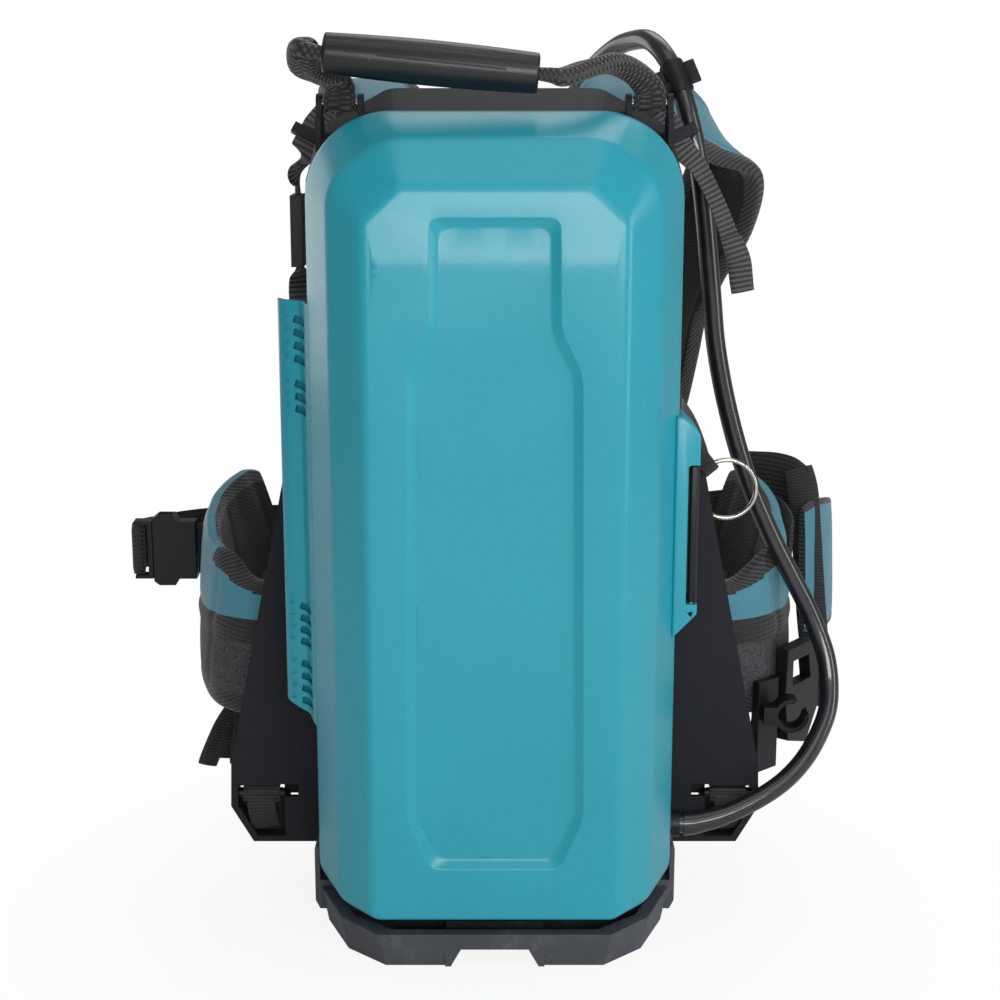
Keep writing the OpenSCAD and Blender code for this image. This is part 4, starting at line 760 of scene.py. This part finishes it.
# %% Webbing helpers
WEB = 2.4  # thickness of all the webbing
LOAD_W, SLIM_W, WAIST_W = 25, 20, 38


def rows_along(places, across, width, thick=WEB):
    """Rows that share the direction of their width and their size."""
    return [[*place, *across, width, thick] for place in places]


def frames(rows):
    """For each row its place, width direction, face direction and distance along the strip."""
    places = rows[:, :3]
    tangents = np.empty_like(places)
    tangents[1:-1] = places[2:] - places[:-2]
    tangents[0], tangents[-1] = places[1] - places[0], places[-1] - places[-2]
    tangents /= np.linalg.norm(tangents, axis=1)[:, None]
    wide = rows[:, 3:6] - tangents * np.sum(rows[:, 3:6] * tangents, axis=1)[:, None]
    wide /= np.linalg.norm(wide, axis=1)[:, None]
    face = np.cross(wide, tangents)
    run = np.concatenate([[0], np.cumsum(np.linalg.norm(np.diff(places, axis=0), axis=1))])
    return places, wide, face, run


def strip(name, rows, body, material, replaces=(), steps=8, curl=0.0):
    """A strip of webbing: a flat band with rounded edges. curl cups it across its width."""
    data = smooth_rows(rows, steps)
    places, wide, face, run = frames(data)
    section = []
    for side in (1, -1):
        for k in range(9):
            u = side * (1 - 2 * k / 8)
            section.append((u, side * (1.0 - max(0.0, abs(u) - 0.9) / (1.0 - 0.9) * 0.55)))
    points, uvs = [], []
    for i in range(len(data)):
        half_w, half_t = data[i][6] / 2, data[i][7] / 2
        for u, lift in section:
            cup = curl * (u * u - 0.35)
            points.append(tuple(places[i] + wide[i] * half_w * u + face[i] * (half_t * lift + cup)))
            uvs.append(((u * half_w + (0.4 if lift < 0 else 0)) * MM, run[i] * MM))
    obj = outward(mesh_object(name, points, skin_faces(len(data), len(section)), uvs))
    return finish_piece(obj, body, material, replaces, 50.0)


def turn_round(centre, radius, start, end, a, b, w, width, thick=WEB):
    """Rows round a bar, from a start to an end angle in the plane of a and b."""
    rows = []
    for k in range(7):
        g = math.radians(start + (end - start) * k / 6)
        place = np.array(centre) + radius * (np.array(a) * math.cos(g) + np.array(b) * math.sin(g))
        rows.append([*place, *w, width, thick])
    return rows


def mirrored(rows):
    return [[-r[0], r[1], r[2], -r[3], r[4], r[5]] + list(r[6:]) for r in rows]


def unit(v):
    v = np.array(v, dtype=float)
    return v / np.linalg.norm(v)


# %% Webbing strips
slider_at = np.array([117, 84.5, 503.0])
slider_dir = unit([0.46, -0.32, -0.83])
slider_w = unit([0.88, 0.1, 0.45])
lifter_places = [slider_at + d * slider_dir for d in (-20, -9, -3, 3, 9)]
lifter_places[0] += np.array([-1.6, 1.8, -1.2])
strip("lifter_strip_right", rows_along(lifter_places, slider_w, 15.5) + [
    [131, 78, 484, 0.75, 0.5, 0.35, 14, WEB], [140, 76.5, 468, 0.75, 0.55, 0.3, 13, WEB],
    [148, 75.5, 450, 0.8, 0.5, 0.3, 13, WEB], [155, 75, 430, 0.9, 0.35, 0.2, 13.5, WEB],
    [157.5, 75.5, 419, 0.95, 0.2, 0.1, 13.5, WEB]], "case", RIBBED, "lifter_webbing_right")
strip("lifter_fold", [
    [152.5, 72.6, 440, 0.9, 0.3, 0.25, 14, 2.2], [155.5, 70.6, 432, 0.95, 0.2, 0.2, 15, 2.6],
    [158, 70.8, 424, 0.97, 0.1, 0.15, 15.5, 3.0], [159.5, 71.5, 414, 0.97, 0.1, 0.2, 15.5, 3.0],
    [161, 72.5, 405, 0.95, 0.1, 0.3, 15, 2.6]], "case", RIBBED, curl=0.7)
strip("lifter_strip_left", mirrored(rows_along(lifter_places, slider_w, SLIM_W))
      + [[-125.5, 86, 486, 0.6, 0.75, 0.2, SLIM_W, WEB]]
      + rows_along([(-128.5, 95, z) for z in (476, 466, 443, 421)], (0, 1, 0), SLIM_W)
      + [[-128, 95, 412, 0.7, 0.7, 0, 18, WEB], [-127.5, 95, 399, 1, 0.25, 0, 17, WEB],
         [-127, 95, 386, 1, 0.1, 0, 17, WEB]], "case", RIBBED, "lifter_webbing_left")
BAR = (161, 76.0, 57.5)


def lower_rows(x):
    """From a strap's end at x down to the window's bar and round it."""
    reach = BAR[0] - x
    return rows_along([(x, 217.8, 275.25), (x + 1, 213, 250), (x + reach * 0.2, 199, 205),
                       (x + reach * 0.5, 178, 150), (x + reach * 0.83, 147, 100), (160.2, 116, 73),
                       (BAR[0], BAR[1] + 15, BAR[2] + 6)], (1, 0, 0), LOAD_W) \
        + turn_round(BAR, 5.2, 95, 330, (0, 1, 0), (0, 0, 1), (1, 0, 0), LOAD_W)


strip("lower_strip_right", lower_rows(116), "case", WEBBING, "lower_webbing_right")
strip("lower_strip_left", mirrored(lower_rows(94)), "case", WEBBING, "lower_webbing_left")
strip("chest_strip", rows_along([
    (134, 230.55, 372), (122, 230.55, 372), (112, 230.55, 372), (88, 231.6, 371), (56, 235.5, 369),
    (26, 238, 366), (0, 238, 366), (-26, 238, 366), (-50, 235.5, 369), (-72, 231.6, 371),
    (-88, 230.05, 372), (-98, 230.05, 372), (-110, 230.05, 372)], (0, 0, 1), SLIM_W),
    "case", WEBBING, "chest_webbing")
strip("buckle_fold_strip", turn_round((-266.75, 216, 196), 3.75, 150, -90, (0, -1, 0), (1, 0, 0), (0, 0, 1),
                                      WAIST_W)
      + rows_along([(-270.5, 221, 196), (-269, 226, 196.4), (-263, 231, 197), (-258, 236, 197)],
                   (0, 0, 1), WAIST_W), "buckle_prongs", WAIST_WEBBING, "buckle_fold")
strip("waist_strip", rows_along([
    (-257.7, 236.3, 197), (-247, 247, 197), (-222, 258, 198), (-180, 264, 199), (-100, 272, 198),
    (0, 276, 198), (100, 272, 202), (150, 264.6, 208), (176.3, 250.6, 214), (191.2, 239.3, 218),
    (203.9, 217, 220), (211.9, 190, 218), (213.9, 166, 214)], (0, 0, 1), WAIST_W),
    "case", WAIST_WEBBING, "waist_webbing")
strip("buckle_strip", rows_along([
    (-222.7, 216, 196), (-216, 217, 196), (-209.4, 219.4, 196), (-203.4, 226.4, 196),
    (-197.4, 234.4, 197), (-191.4, 241.3, 199)], (0, 0, 1), WAIST_W),
    "case", WAIST_WEBBING, "buckle_webbing")

RING_R = 20
ring_middle = np.array([156, 89.5, 270.0])
ring_out = np.array([math.cos(math.radians(130)), 0, math.sin(math.radians(130))])
ring_touch = ring_middle + RING_R * ring_out
# Each row has the place between the two plies, the direction to a ply, the direction of the width,
# half the gap between the plies, and the width
tab_line = [((117, 44, 331), (1, 0, 0), (0, 0, 1), 1.35, 25),
            ((119.6, 58, 325), (0.86, -0.5, 0), (0.08, 0.2, 0.97), 1.35, 25),
            (((114 + ring_touch[0]) / 2 - 2.1, 74, 311), (0.6, -0.77, 0.2), (0.5, 0.2, 0.85), 1.35, 21),
            ((ring_touch[0] - 9.6, 85.5, 298.5), (0.3, -0.95, 0), (0.68, 0.1, 0.72), 1.8, 16),
            (tuple(ring_touch + 8 * ring_out), (0, -1, 0), (ring_out[2], 0, -ring_out[0]), 2.6, 13)]


def tab_ply(side):
    return [list(np.array(p) + side * gap * np.array(out)) + list(w) + [width, WEB]
            for p, out, w, gap, width in tab_line]


along = (ring_out[2], 0, -ring_out[0])
wire_drop = RING_R - math.sqrt(RING_R ** 2 - 36)
tab_turn = ring_touch + (2.5 - 1.5 - wire_drop - 0.35) * ring_out
strip("ring_tab", tab_ply(1) + turn_round(tab_turn, 3.7, -80, 80, -ring_out, (0, 1, 0), along, 12)
      + tab_ply(-1)[::-1], "case", WEBBING, "ring_webbing")
print("webbing made")

# %% [markdown]
# ## Pads
# A pad is a flattened tube along its route. Its thickness swells between lines of stitching, and a
# raised tape binds both edges. Bands across the width can have materials of their own.

# %% Pad helper
ROUNDING = 0.55


def pad(name, rows, body, replaces, outside, bands=(), grooves=(), steps=9, count=72, binding=8.0,
        puff=0.0, quilt=0.0, seed=0, gusset=False, droop=None, by_height=()):
    """outside is +1 where the outer face lies along the strip's face direction. by_height gives the
    heights of three seams and bands the materials between them; grooves are (place, half width,
    depth), in heights then, and across the width from -1 to 1 otherwise."""
    data = smooth_rows(rows, steps)
    places, wide, face, run = frames(data)
    points, uvs, slots = [], [], []
    samples = [signed_power(math.cos(math.pi * k / (count // 2)), ROUNDING) for k in range(count // 2 + 1)]
    seams = [min(samples, key=lambda value: abs(value - wanted)) for wanted in (-0.72, 0.03, 0.42)]
    for i in range(len(data)):
        half_w, half_t = data[i][6] / 2, data[i][7] / 2
        ends = min(1.0, min(run[i], run[-1] - run[i]) / 14.0)
        lines = [-1.0]
        for height in by_height:
            lines.append(min(0.9, max(lines[-1] + 0.03, (height - places[i][2]) / half_w)))
        lines.append(1.0)

        def along(value):
            return float(np.interp(value, [-1.0] + seams + [1.0], lines)) if by_height else value

        for k in range(count):
            g = 2 * math.pi * k / count
            c = math.cos(g)
            u = along(signed_power(c, ROUNDING))
            v = signed_power(math.sin(g), ROUNDING)
            outer = v * outside > 0
            thick = 1.0
            for place, reach, depth in grooves:
                at = (places[i][2] + half_w * u if by_height else u) - place
                thick -= depth * math.exp(-(at / reach) ** 2) * (1.0 if outer or not by_height else 0.0)
            if quilt:
                thick -= 0.16 * ends * max(0.0, math.cos(2 * math.pi * run[i] / quilt)) ** 12 * (abs(u) < 0.8)
            swell = puff * (1 - u * u) * (0.5 + 0.5 * noise.noise(Vector((run[i] / 30, u * 2, seed)))) * ends
            lift = (0.55 if (1 - abs(u)) * half_w < binding else 0.0) * min(1.0, ends * 3)
            out = half_t * v * thick + math.copysign(1, v) * (lift * abs(v) + (swell if outer else swell * 0.4))
            sag = droop(run[i] / run[-1], v * outside) * max(0.0, u) ** 3 if droop else 0.0
            across = half_w * u + math.copysign(lift, u) * abs(c) - sag
            points.append(tuple(places[i] + wide[i] * across + face[i] * out))
            uvs.append((u * half_w * MM, run[i] * MM))
            if i < len(data) - 1:
                g = 2 * math.pi * (k + 0.5) / count
                um = signed_power(math.cos(g), ROUNDING)
                zone, um = sum(um > seam for seam in seams), along(um)
                vm = signed_power(math.sin(g), ROUNDING) * outside
                slot = 1 if vm <= 0 else bands[zone] if by_height else 0
                if (1 - abs(um)) * half_w < binding:
                    slot = 2
                    if gusset and um > 0 and run[i] > 0.42 * run[-1]:
                        slot = 2 if vm > 0.86 or vm < -0.3 else 0
                slots.append(slot)
    obj = mesh_object(name, points, skin_faces(len(data), count), uvs)
    for polygon, slot in zip(obj.data.polygons, slots + [2, 2]):
        polygon.material_index = slot
    outward(obj)
    finish_piece(obj, body, [TEAL_NYLON, BLACK_MESH, BINDING, PEBBLED, WAIST_WEBBING], replaces, 40.0)
    return obj


PLATE_FACE = 84
STRAP_W, STRAP_T = 62.0, 13.0
ROOT_Y = PLATE_FACE + 0.3 + STRAP_T * 0.25 + 0.5


def strap_end(*places):
    """The last rows of a strap, where it narrows."""
    return [[*place, 1, 0, 0, STRAP_W * width, STRAP_T * thick]
            for place, width, thick in zip(places, (0.95, 0.85, 0.6), (1, 1, 0.6))]


strap_head = [[80, ROOT_Y, 464, 1, 0, 0, STRAP_W * 0.8, STRAP_T * 0.5],
              [77, ROOT_Y + 3, 486, 1, 0, 0, STRAP_W * 0.9, STRAP_T * 0.9],
              [73, 101, 509, 0.97, -0.25, 0, STRAP_W, STRAP_T], [76, 121, 528, 0.85, -0.5, 0, STRAP_W, STRAP_T]]
right_strap = strap_head + [[x, y, z, *across, STRAP_W + wider, STRAP_T] for x, y, z, across, wider in (
    (91, 144, 532, (0.6, -0.65, -0.47), 2), (120, 155, 519, (0.25, -0.76, -0.6), 12),
    (146, 173, 504, (0.15, -0.8, -0.6), 2), (162, 191, 480, (0.68, -0.68, -0.2), 0),
    (156, 205, 446, (0.86, -0.48, 0), 0), (138, 214, 412, (0.98, -0.2, 0), 0),
    (125, 222, 378, (1, 0, 0), 0))] + strap_end((120, 222, 345), (116, 220, 310), (116, 218, 276))
left_strap = mirrored(
    strap_head
    + [[86, 146, 533, 0.9, -0.45, 0, STRAP_W, STRAP_T], [90, 172, 524, 1, -0.1, 0, STRAP_W, STRAP_T]]
    + rows_along([(94, 196, 502), (98, 214, 466), (99, 222, 420), (98, 222, 378)], (1, 0, 0),
                 STRAP_W, STRAP_T)
    + strap_end((97, 222, 345), (95, 220, 310), (94, 218, 276)))
STITCH = [(-0.62, 0.035, 0.16), (0.62, 0.035, 0.16)]
for side, rows, outside, seed in (("right", right_strap, 1, 1), ("left", left_strap, -1, 2)):
    pad(f"shoulder_pad_{side}", rows, "case", f"shoulder_strap_{side}", outside, (), STITCH,
        binding=9.0, puff=0.6, seed=seed)

hip_rows = [[x, y, z, tilt, 0, 1, width, thick] for x, y, z, tilt, width, thick in (
    (108, 84.3 + 4.8, 150, 0, 90, 9.6), (128, 84.3 + 8, 154, 0, 98, 16), (160, 98, 157, 0, 102, 16),
    (184, 110, 161, 0, 108, 16), (198, 132, 165, 0, 113, 16), (204, 160, 174, -0.05, 114, 16),
    (202, 188, 187, -0.1, 110, 16), (194, 212, 201, -0.1, 102, 16), (182, 232, 212, -0.1, 90, 16),
    (170, 244, 218, 0, 70, 9.6))]
hip_rows_left = mirrored(hip_rows)
for row, lift in zip(hip_rows_left[4:8], (3.5, 5.0, 3.0, 0.5)):
    row[2], row[6] = row[2] + lift, row[6] + 2 * lift
HIP_SEAMS = (121, 160, 178)
HIP_BANDS = (2, 3, 4, 0)
HIP_GROOVES = [(121.5, 1.3, 0.1), (158.8, 1.4, 0.14), (169, 7.5, -0.12), (179.2, 1.4, 0.16)]


def hip_droop(t, v):
    """The top edge is gathered: it hangs in two folds near the plate and stands up further round."""
    return 5.5 * math.exp(-((t - 0.26) / 0.06) ** 2) - 4.0 * math.exp(-((t - 0.38) / 0.045) ** 2) \
        + 3.0 * math.exp(-((t - 0.5) / 0.045) ** 2) * (0.6 - 0.4 * v)


for side, rows, outside, seed in (("right", hip_rows, -1, 3), ("left", hip_rows_left, 1, 4)):
    pad(f"hip_cushion_{side}", rows, "case", f"hip_pad_{side}", outside, HIP_BANDS, HIP_GROOVES,
        steps=14, count=96, puff=0.9, seed=seed, quilt=46.0, gusset=True, droop=hip_droop,
        by_height=HIP_SEAMS, binding=10.0)

# The back cushion's half width, lower and upper edge and tape, in millimetres
HALF, LOW, HIGH, TAPE = 78, 150, 452, 7


def back_crown(x, z):
    u = min(1.0, max(0.0, 1 - abs(x) / HALF))
    v = min(1.0, max(0.0, 1 - abs(z - (LOW + HIGH) / 2) / ((HIGH - LOW) / 2)))
    groove = 1 - 0.45 * math.exp(-((abs(x) - 26) / 6) ** 2)
    return 18 * (0.35 + 0.65 * u ** 0.35 * v ** 0.3 * groove)


def is_taped(x, z):
    return min(HALF - abs(x), z - LOW, HIGH - z) < TAPE


nx, nz = 64, 100
points, uvs, faces, slots = [], [], [], []
for j in range(nz + 1):
    z = LOW + (HIGH - LOW) * j / nz
    for i in range(nx + 1):
        x = HALF * (2 * i / nx - 1)
        points.append((x, PLATE_FACE + max(2.0, back_crown(x, z)) + (0.4 if is_taped(x, z) else 0.0), z))
        uvs.append((x * MM, z * MM))
for j in range(nz):
    for i in range(nx):
        a = j * (nx + 1) + i
        faces.append((a, a + 1, a + nx + 2, a + nx + 1))
        middle = HALF * (2 * (i + 0.5) / nx - 1), LOW + (HIGH - LOW) * (j + 0.5) / nz
        slots.append(1 if is_taped(*middle) else 0)
border = [i for i in range(nx + 1)] + [j * (nx + 1) + nx for j in range(1, nz + 1)]
border += [nz * (nx + 1) + i for i in range(nx - 1, -1, -1)] + [j * (nx + 1) for j in range(nz - 1, 0, -1)]
base = len(points)
for index in border:
    points.append((points[index][0], PLATE_FACE + 0.05, points[index][2]))
    uvs.append((uvs[index][0], uvs[index][1] + 0.01))
count = len(border)
for k in range(count):
    faces.append((border[(k + 1) % count], border[k], base + k, base + (k + 1) % count))
faces.append(tuple(base + k for k in range(count)))
cushion = mesh_object("back_cushion", points, faces, uvs)
for polygon, slot in zip(cushion.data.polygons, slots + [1] * (count + 1)):
    polygon.material_index = slot
outward(cushion)
finish_piece(cushion, "case", [BLACK_MESH, BINDING], "back_pad", 60.0)
print("pads made")

# %% [markdown]
# ## Handle webbing
# The strip is rolled into a rope where it runs free, and lies flat round the two anchor pins.

# %% Handle webbing
def rope(name, rows, body, material, replaces):
    """Rows as for a strip; a roll of 1 bends the strip into a rope, 0 leaves it flat."""
    data = smooth_rows(rows, 8)
    places, wide, face, run = frames(data)
    points, uvs = [], []
    count = 20
    for i in range(len(data)):
        roll = min(1.0, max(0.0, data[i][8]))
        half_w = data[i][6] * (0.5 * (1 - roll) + 0.38 * roll)
        half_t = data[i][7] / 2 * (1 - roll) + data[i][6] * 0.3 * roll
        for k in range(count):
            g = 2 * math.pi * k / count
            power = 0.35 + 0.45 * roll
            u, v = signed_power(math.cos(g), power), signed_power(math.sin(g), power)
            crease = 1 - 0.3 * roll * math.exp(-((g - math.pi * 0.5) / 0.35) ** 2)
            points.append(tuple(places[i] + wide[i] * half_w * u + face[i] * half_t * v * crease))
            uvs.append((g * 3.6 * MM, run[i] * MM))
    obj = outward(mesh_object(name, points, skin_faces(len(data), count), uvs))
    return finish_piece(obj, body, material, replaces, 50.0)


def rolled(rows, rolls):
    return [list(row) + [roll] for row, roll in zip(rows, rolls)]


PIN_TURN = 4.1
g, h, span = np.array(GRIP_LEFT), np.array(GRIP_RIGHT), np.array(grip_axis)
handle_rows = turn_round((-95, 35, 525), PIN_TURN, -80, 190, (0, 1, 0), (0, 0, -1), (1, 0, 0), SLIM_W)
handle_free = [[-95, 29.5, 536, 1, 0, 0, SLIM_W, WEB]] + [
    [*row, 24, WEB] for row in ((-104, 22, 542.5, 0.67, -0.74, 0), (-114, 9, 548, 0.93, -0.34, 0),
                                (-113, -4, 557, 0.84, 0.55, 0))] + [
    [*row, SLIM_W, WEB] for row in (
        (*(g - span * 5), 0, 1, 0), (*(g + span * 30), 0, 1, 0), (*((g + h) / 2), 0, 0, 1),
        (*(h - span * 30), 0, -1, 0), (*(h + span * 5), 0, -1, 0), (41, -8, 541.4, 0.5, -0.85, 0),
        (55, 2, 546, 0.6, -0.77, 0.1), (70, 15, 549, 0.58, -0.72, 0.35), (84, 24, 544, 0.6, -0.5, 0.6),
        (94, 29, 534, 1, 0.05, 0))]
handle_end = turn_round((95, 35, 525), PIN_TURN, 170, 440, (0, 1, 0), (0, 0, 1), (1, 0, 0), SLIM_W)
free_roll = [0.4, 1, 1, 1, 0.7, 0, 0, 0, 0.7, 1, 1, 1, 0.9, 0.4]
rope("handle_rope", rolled(handle_rows, [0] * 7) + rolled(handle_free, free_roll) + rolled(handle_end, [0] * 7),
     "carry_handle", ROPE, "handle_webbing")
print("handle webbing made")

# %% [markdown]
# ## Loose ends of webbing
# Tails hang where the webbing leaves its adjusters: a bundle below the left hip, a loop and a tail
# below the right hip, the belt's end and tail on the far right, and short ends in the two windows.

# %% Loose ends
TAIL = 2.2  # thickness of the loose ends
for side in (-1, 1):
    strip(f"window_tail_{'left' if side < 0 else 'right'}",
          [[side * x, y, z, 1, slant, 0, 19, 2.0] for x, y, z, slant in (
              (161, 69.2, 58, 0), (161, 69.0, 50, 0), (160, 71.0, 42, 0.05), (159, 75, 33, 0.1))],
          "case", WEBBING, steps=6)
for number, (dx, dy, lean) in enumerate(((0, 0, -15), (5, 4, -9), (9, 1, -3), (4, 8, -12))):
    strip(f"left_tail_{number + 1}",
          [[-186 + dx * 0.3, 150 + dy, 106, 0.8, 0.5, 0, 14, TAIL],
           [-188 + dx * 0.6, 148 + dy, 96, 0.8, 0.5, 0, 15, TAIL],
           [-190 + dx + lean * 0.45, 146 + dy, 82, 0.75, 0.6, 0.1, 16, TAIL],
           [-191 + dx + lean, 144 + dy, 60 + dy, 0.8, 0.5, 0.15, 16, TAIL],
           [-191 + dx + lean * 1.2, 143 + dy, 52 + dy, 0.8, 0.5, 0.2, 15, TAIL]],
          "case", WEBBING, curl=1.2)
LOOP_W = (0.2, 1, 0)
strip("right_loop", turn_round((184, 112, 78), 11, 100, -80, (0.75, 0.1, 0), (0, 0, 1.15), LOOP_W, 14, TAIL)
      + rows_along([(181, 111, 60), (177, 110, 52)], LOOP_W, 14, TAIL), "case", WEBBING, steps=7)
strip("right_tail", rows_along([(184, 122, 112), (186, 121, 100)], (0.5, 0.8, 0), 14, TAIL)
      + rows_along([(184, 120, 86), (178, 119, 70)], (0.6, 0.8, 0), 14, TAIL), "case", WEBBING, steps=7)
strip("belt_end", [[186, 238, 243, 0, 0, 1, 46, WEB], [198, 231, 244, 0, 0, 1, 46, WEB],
                   [210, 222, 244, 0, 0, 1, 48, WEB], [221, 210, 243, -0.05, 0, 1, 48, WEB],
                   [228, 196, 240, -0.05, 0, 1, 46, WEB]], "case", WAIST_WEBBING, steps=7)
strip("belt_tail", [[222, 196, 262, 1, -0.3, 0, 20, WEB], [225, 190, 246, 1, -0.3, 0, 22, WEB],
                    [228, 186, 214, 1, -0.35, 0, 22, WEB], [231, 184, 180, 1, -0.35, 0, 22, WEB],
                    [235, 182, 140, 0.95, -0.35, 0.2, 22, WEB], [241, 180, 104, 0.9, -0.3, 0.35, 21, WEB],
                    [246, 179, 86, 0.9, -0.3, 0.4, 18, WEB]], "case", WEBBING, curl=0.8)

# %% [markdown]
# ## Far flap, lead clip and painted shade in the slots
# A thin padded flap hangs outside the right hip. At the top a collar with two ears holds the lead on
# an arm from its clip. Dark patches of painted shade fill the two slots beside the plate's windows, where only
# shadow shows.

# %% Far flap, lead clip and painted shade in the slots
far_rows = [[x, y, z, -0.05, 0, 1, width, thick] for x, y, z, width, thick in (
    (224, 176, 190, 92, 6), (233, 186, 190, 98, 7), (242, 198, 189, 98, 7), (249, 212, 188, 94, 6.5),
    (252, 224, 187, 86, 5))]
pad("far_flap", far_rows, "case", (), -1, steps=8, binding=3.5, puff=0.4, seed=6)
sleeve("clip_collar", 170, 178, (8.3, 8.3), 0.0, BLACK_PLASTIC)
ears = [turn_about(box("ear", low, high, bevel), cord_line[174], (-27, -21, 0)) for low, high, bevel in (
    ((6.8, -2.5, -8), (14.5, 0.8, 8), 0.7), ((-14.0, -3.5, -11), (-6.0, 0.5, 7.5), 0.9))]
arm = rod("clip_arm", (103, 96, 524), tuple(cord_line[172] - np.array([6, 2, 0])), 3.2, 20, 0.5)
finish_piece(join(ears + [arm], "lead_clip"), "case", BLACK_PLASTIC, "cord_clip", 30.0)
# These dark rubber patches are painted shade: they stand where the slots show only shadow.
for side in (-1, 1):
    low, high = sorted((side * 126, side * 146.5))
    shade_patch = box("slot_shade_patch", (low, PLATE_FACE + 0.05, 54), (high, 86.6, 78), 0.6)
    finish_piece(shade_patch, "case", SEAL_RUBBER)
print("flap, clip and patches made")

# %% [markdown]
# ## Lights and floor
# A wide, low softbox in front lights the face, and its reflection whitens the tilted facet. A lamp
# behind on the left draws the bright line down the edge; the others soften the shadows.

# %% Lights and floor
def area_light(name, place, target, size, power):
    data = bpy.data.lights.new(name, "AREA")
    data.shape = "RECTANGLE"
    data.size, data.size_y = size
    data.energy = power
    lamp = bpy.data.objects.new(name, data)
    lamp.location = place
    direction = Vector(target) - Vector(place)
    lamp.rotation_euler = direction.to_track_quat("-Z", "Y").to_euler()
    bpy.context.scene.collection.objects.link(lamp)


CENTRE = (0.0, 0.0, 0.3)
area_light("front_softbox", (0.3, -1.7, 0.68), (0.0, 0.0, 0.42), (1.25, 0.28), 15.0)
area_light("top_soft", (0.1, -0.3, 1.6), CENTRE, (1.0, 0.8), 2.5)
area_light("high_front", (0.5, -1.4, 1.5), CENTRE, (0.8, 0.5), 3.0)
area_light("strip_right", (1.3, -0.45, 0.6), CENTRE, (0.3, 1.0), 5.0)
area_light("back_left", (-1.0, 1.15, 0.55), CENTRE, (0.7, 0.9), 3.2)
area_light("rear_fill", (0.3, 1.1, 1.9), CENTRE, (1.2, 1.0), 7.0)

world = bpy.data.worlds.new("studio")
bpy.context.scene.world = world
world.use_nodes = True
room = world.node_tree.nodes["Background"]
room.inputs["Color"].default_value = (0.82, 0.84, 0.86, 1.0)
room.inputs["Strength"].default_value = 0.3
seen = add_node(world, "LightPath").outputs["Is Camera Ray"]
white = add_node(world, "Background", {"Color": (1.0, 1.0, 1.0, 1.0), "Strength": 1.0})
feed(world.node_tree.nodes["World Output"],
     Surface=add_node(world, "MixShader", {}, Fac=seen, i1=room, i2=white))

# White paper that takes the pack's shadow and, from 0.15 to 0.42 m out, fades to pure white
paper, paper_shader, node = start_material("white_paper")
paper_shader.inputs["Base Color"].default_value = (0.86, 0.86, 0.86, 1.0)
paper_shader.inputs["Roughness"].default_value = 0.9
reach = node("VectorMath", {"operation": "LENGTH"}, i0=node("TexCoord").outputs["Object"])
fade = node("MapRange", {"From Min": 0.15, "From Max": 0.42, "To Min": 0.88, "To Max": 1.0},
            Value=reach.outputs["Value"])
share = node("Math", {"operation": "MULTIPLY"}, i0=node("LightPath").outputs["Is Camera Ray"], i1=fade)
glow = node("Emission", {"Strength": 1.0})
feed(paper.node_tree.nodes["Material Output"],
     Surface=node("MixShader", {}, Fac=share, i1=paper_shader, i2=glow))

bpy.ops.mesh.primitive_plane_add(size=6.0, location=(0, 0, -0.0005))
floor = bpy.context.active_object
floor.name = "floor"
floor.data.materials.append(paper)

# %% [markdown]
# ## Solids that stay
# Every solid gets the material of its kind. A name that ends in a hyphen stands for four numbers.

# %% CAD nodes
green_lens, lens_shader, node = start_material("green_lens")
lens_shader.inputs["Base Color"].default_value = linear("#2f9a3c")
lens_shader.inputs["Roughness"].default_value = 0.15
lens_shader.inputs["Transmission Weight"].default_value = 0.4
FINISHES = [
    (CHARCOAL_PLASTIC, "rear_shell battery_tray control_box harness_plate"),
    (TEAL_PLASTIC, "front_cover"), (FOOT_PLASTIC, "base_foot check_button"), (GRIP_PLASTIC, "handle_grip"),
    (SEAL_RUBBER, "cover_seal inner_leads"), (NICKEL, "steel_ring"), (green_lens, "indicator_lens"),
    (ZINC, "hinge_pin latch_pin foot_screws tray_screws handle_pins plate_screws"),
    (BLACK_PLASTIC, "latch_lever cord_gland cord_plug cord_clip strap_bars lifter_buckles chest_buckle "
                    "buckle_socket buckle_prongs tool_holder tool_hook terminal_block_-"),
    (BATTERY_PLASTIC, "battery_-"), (BUTTON_RED, "battery_button_-")]
finished = 0
for material, names in FINISHES:
    for name in names.split():
        for full_name in [name] if name[-1] != "-" else [name[:-1] + str(n) for n in range(1, 5)]:
            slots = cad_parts[full_name].data.materials
            slots.clear()
            slots.append(material)
            finished += 1
print("CAD nodes finished:", finished)
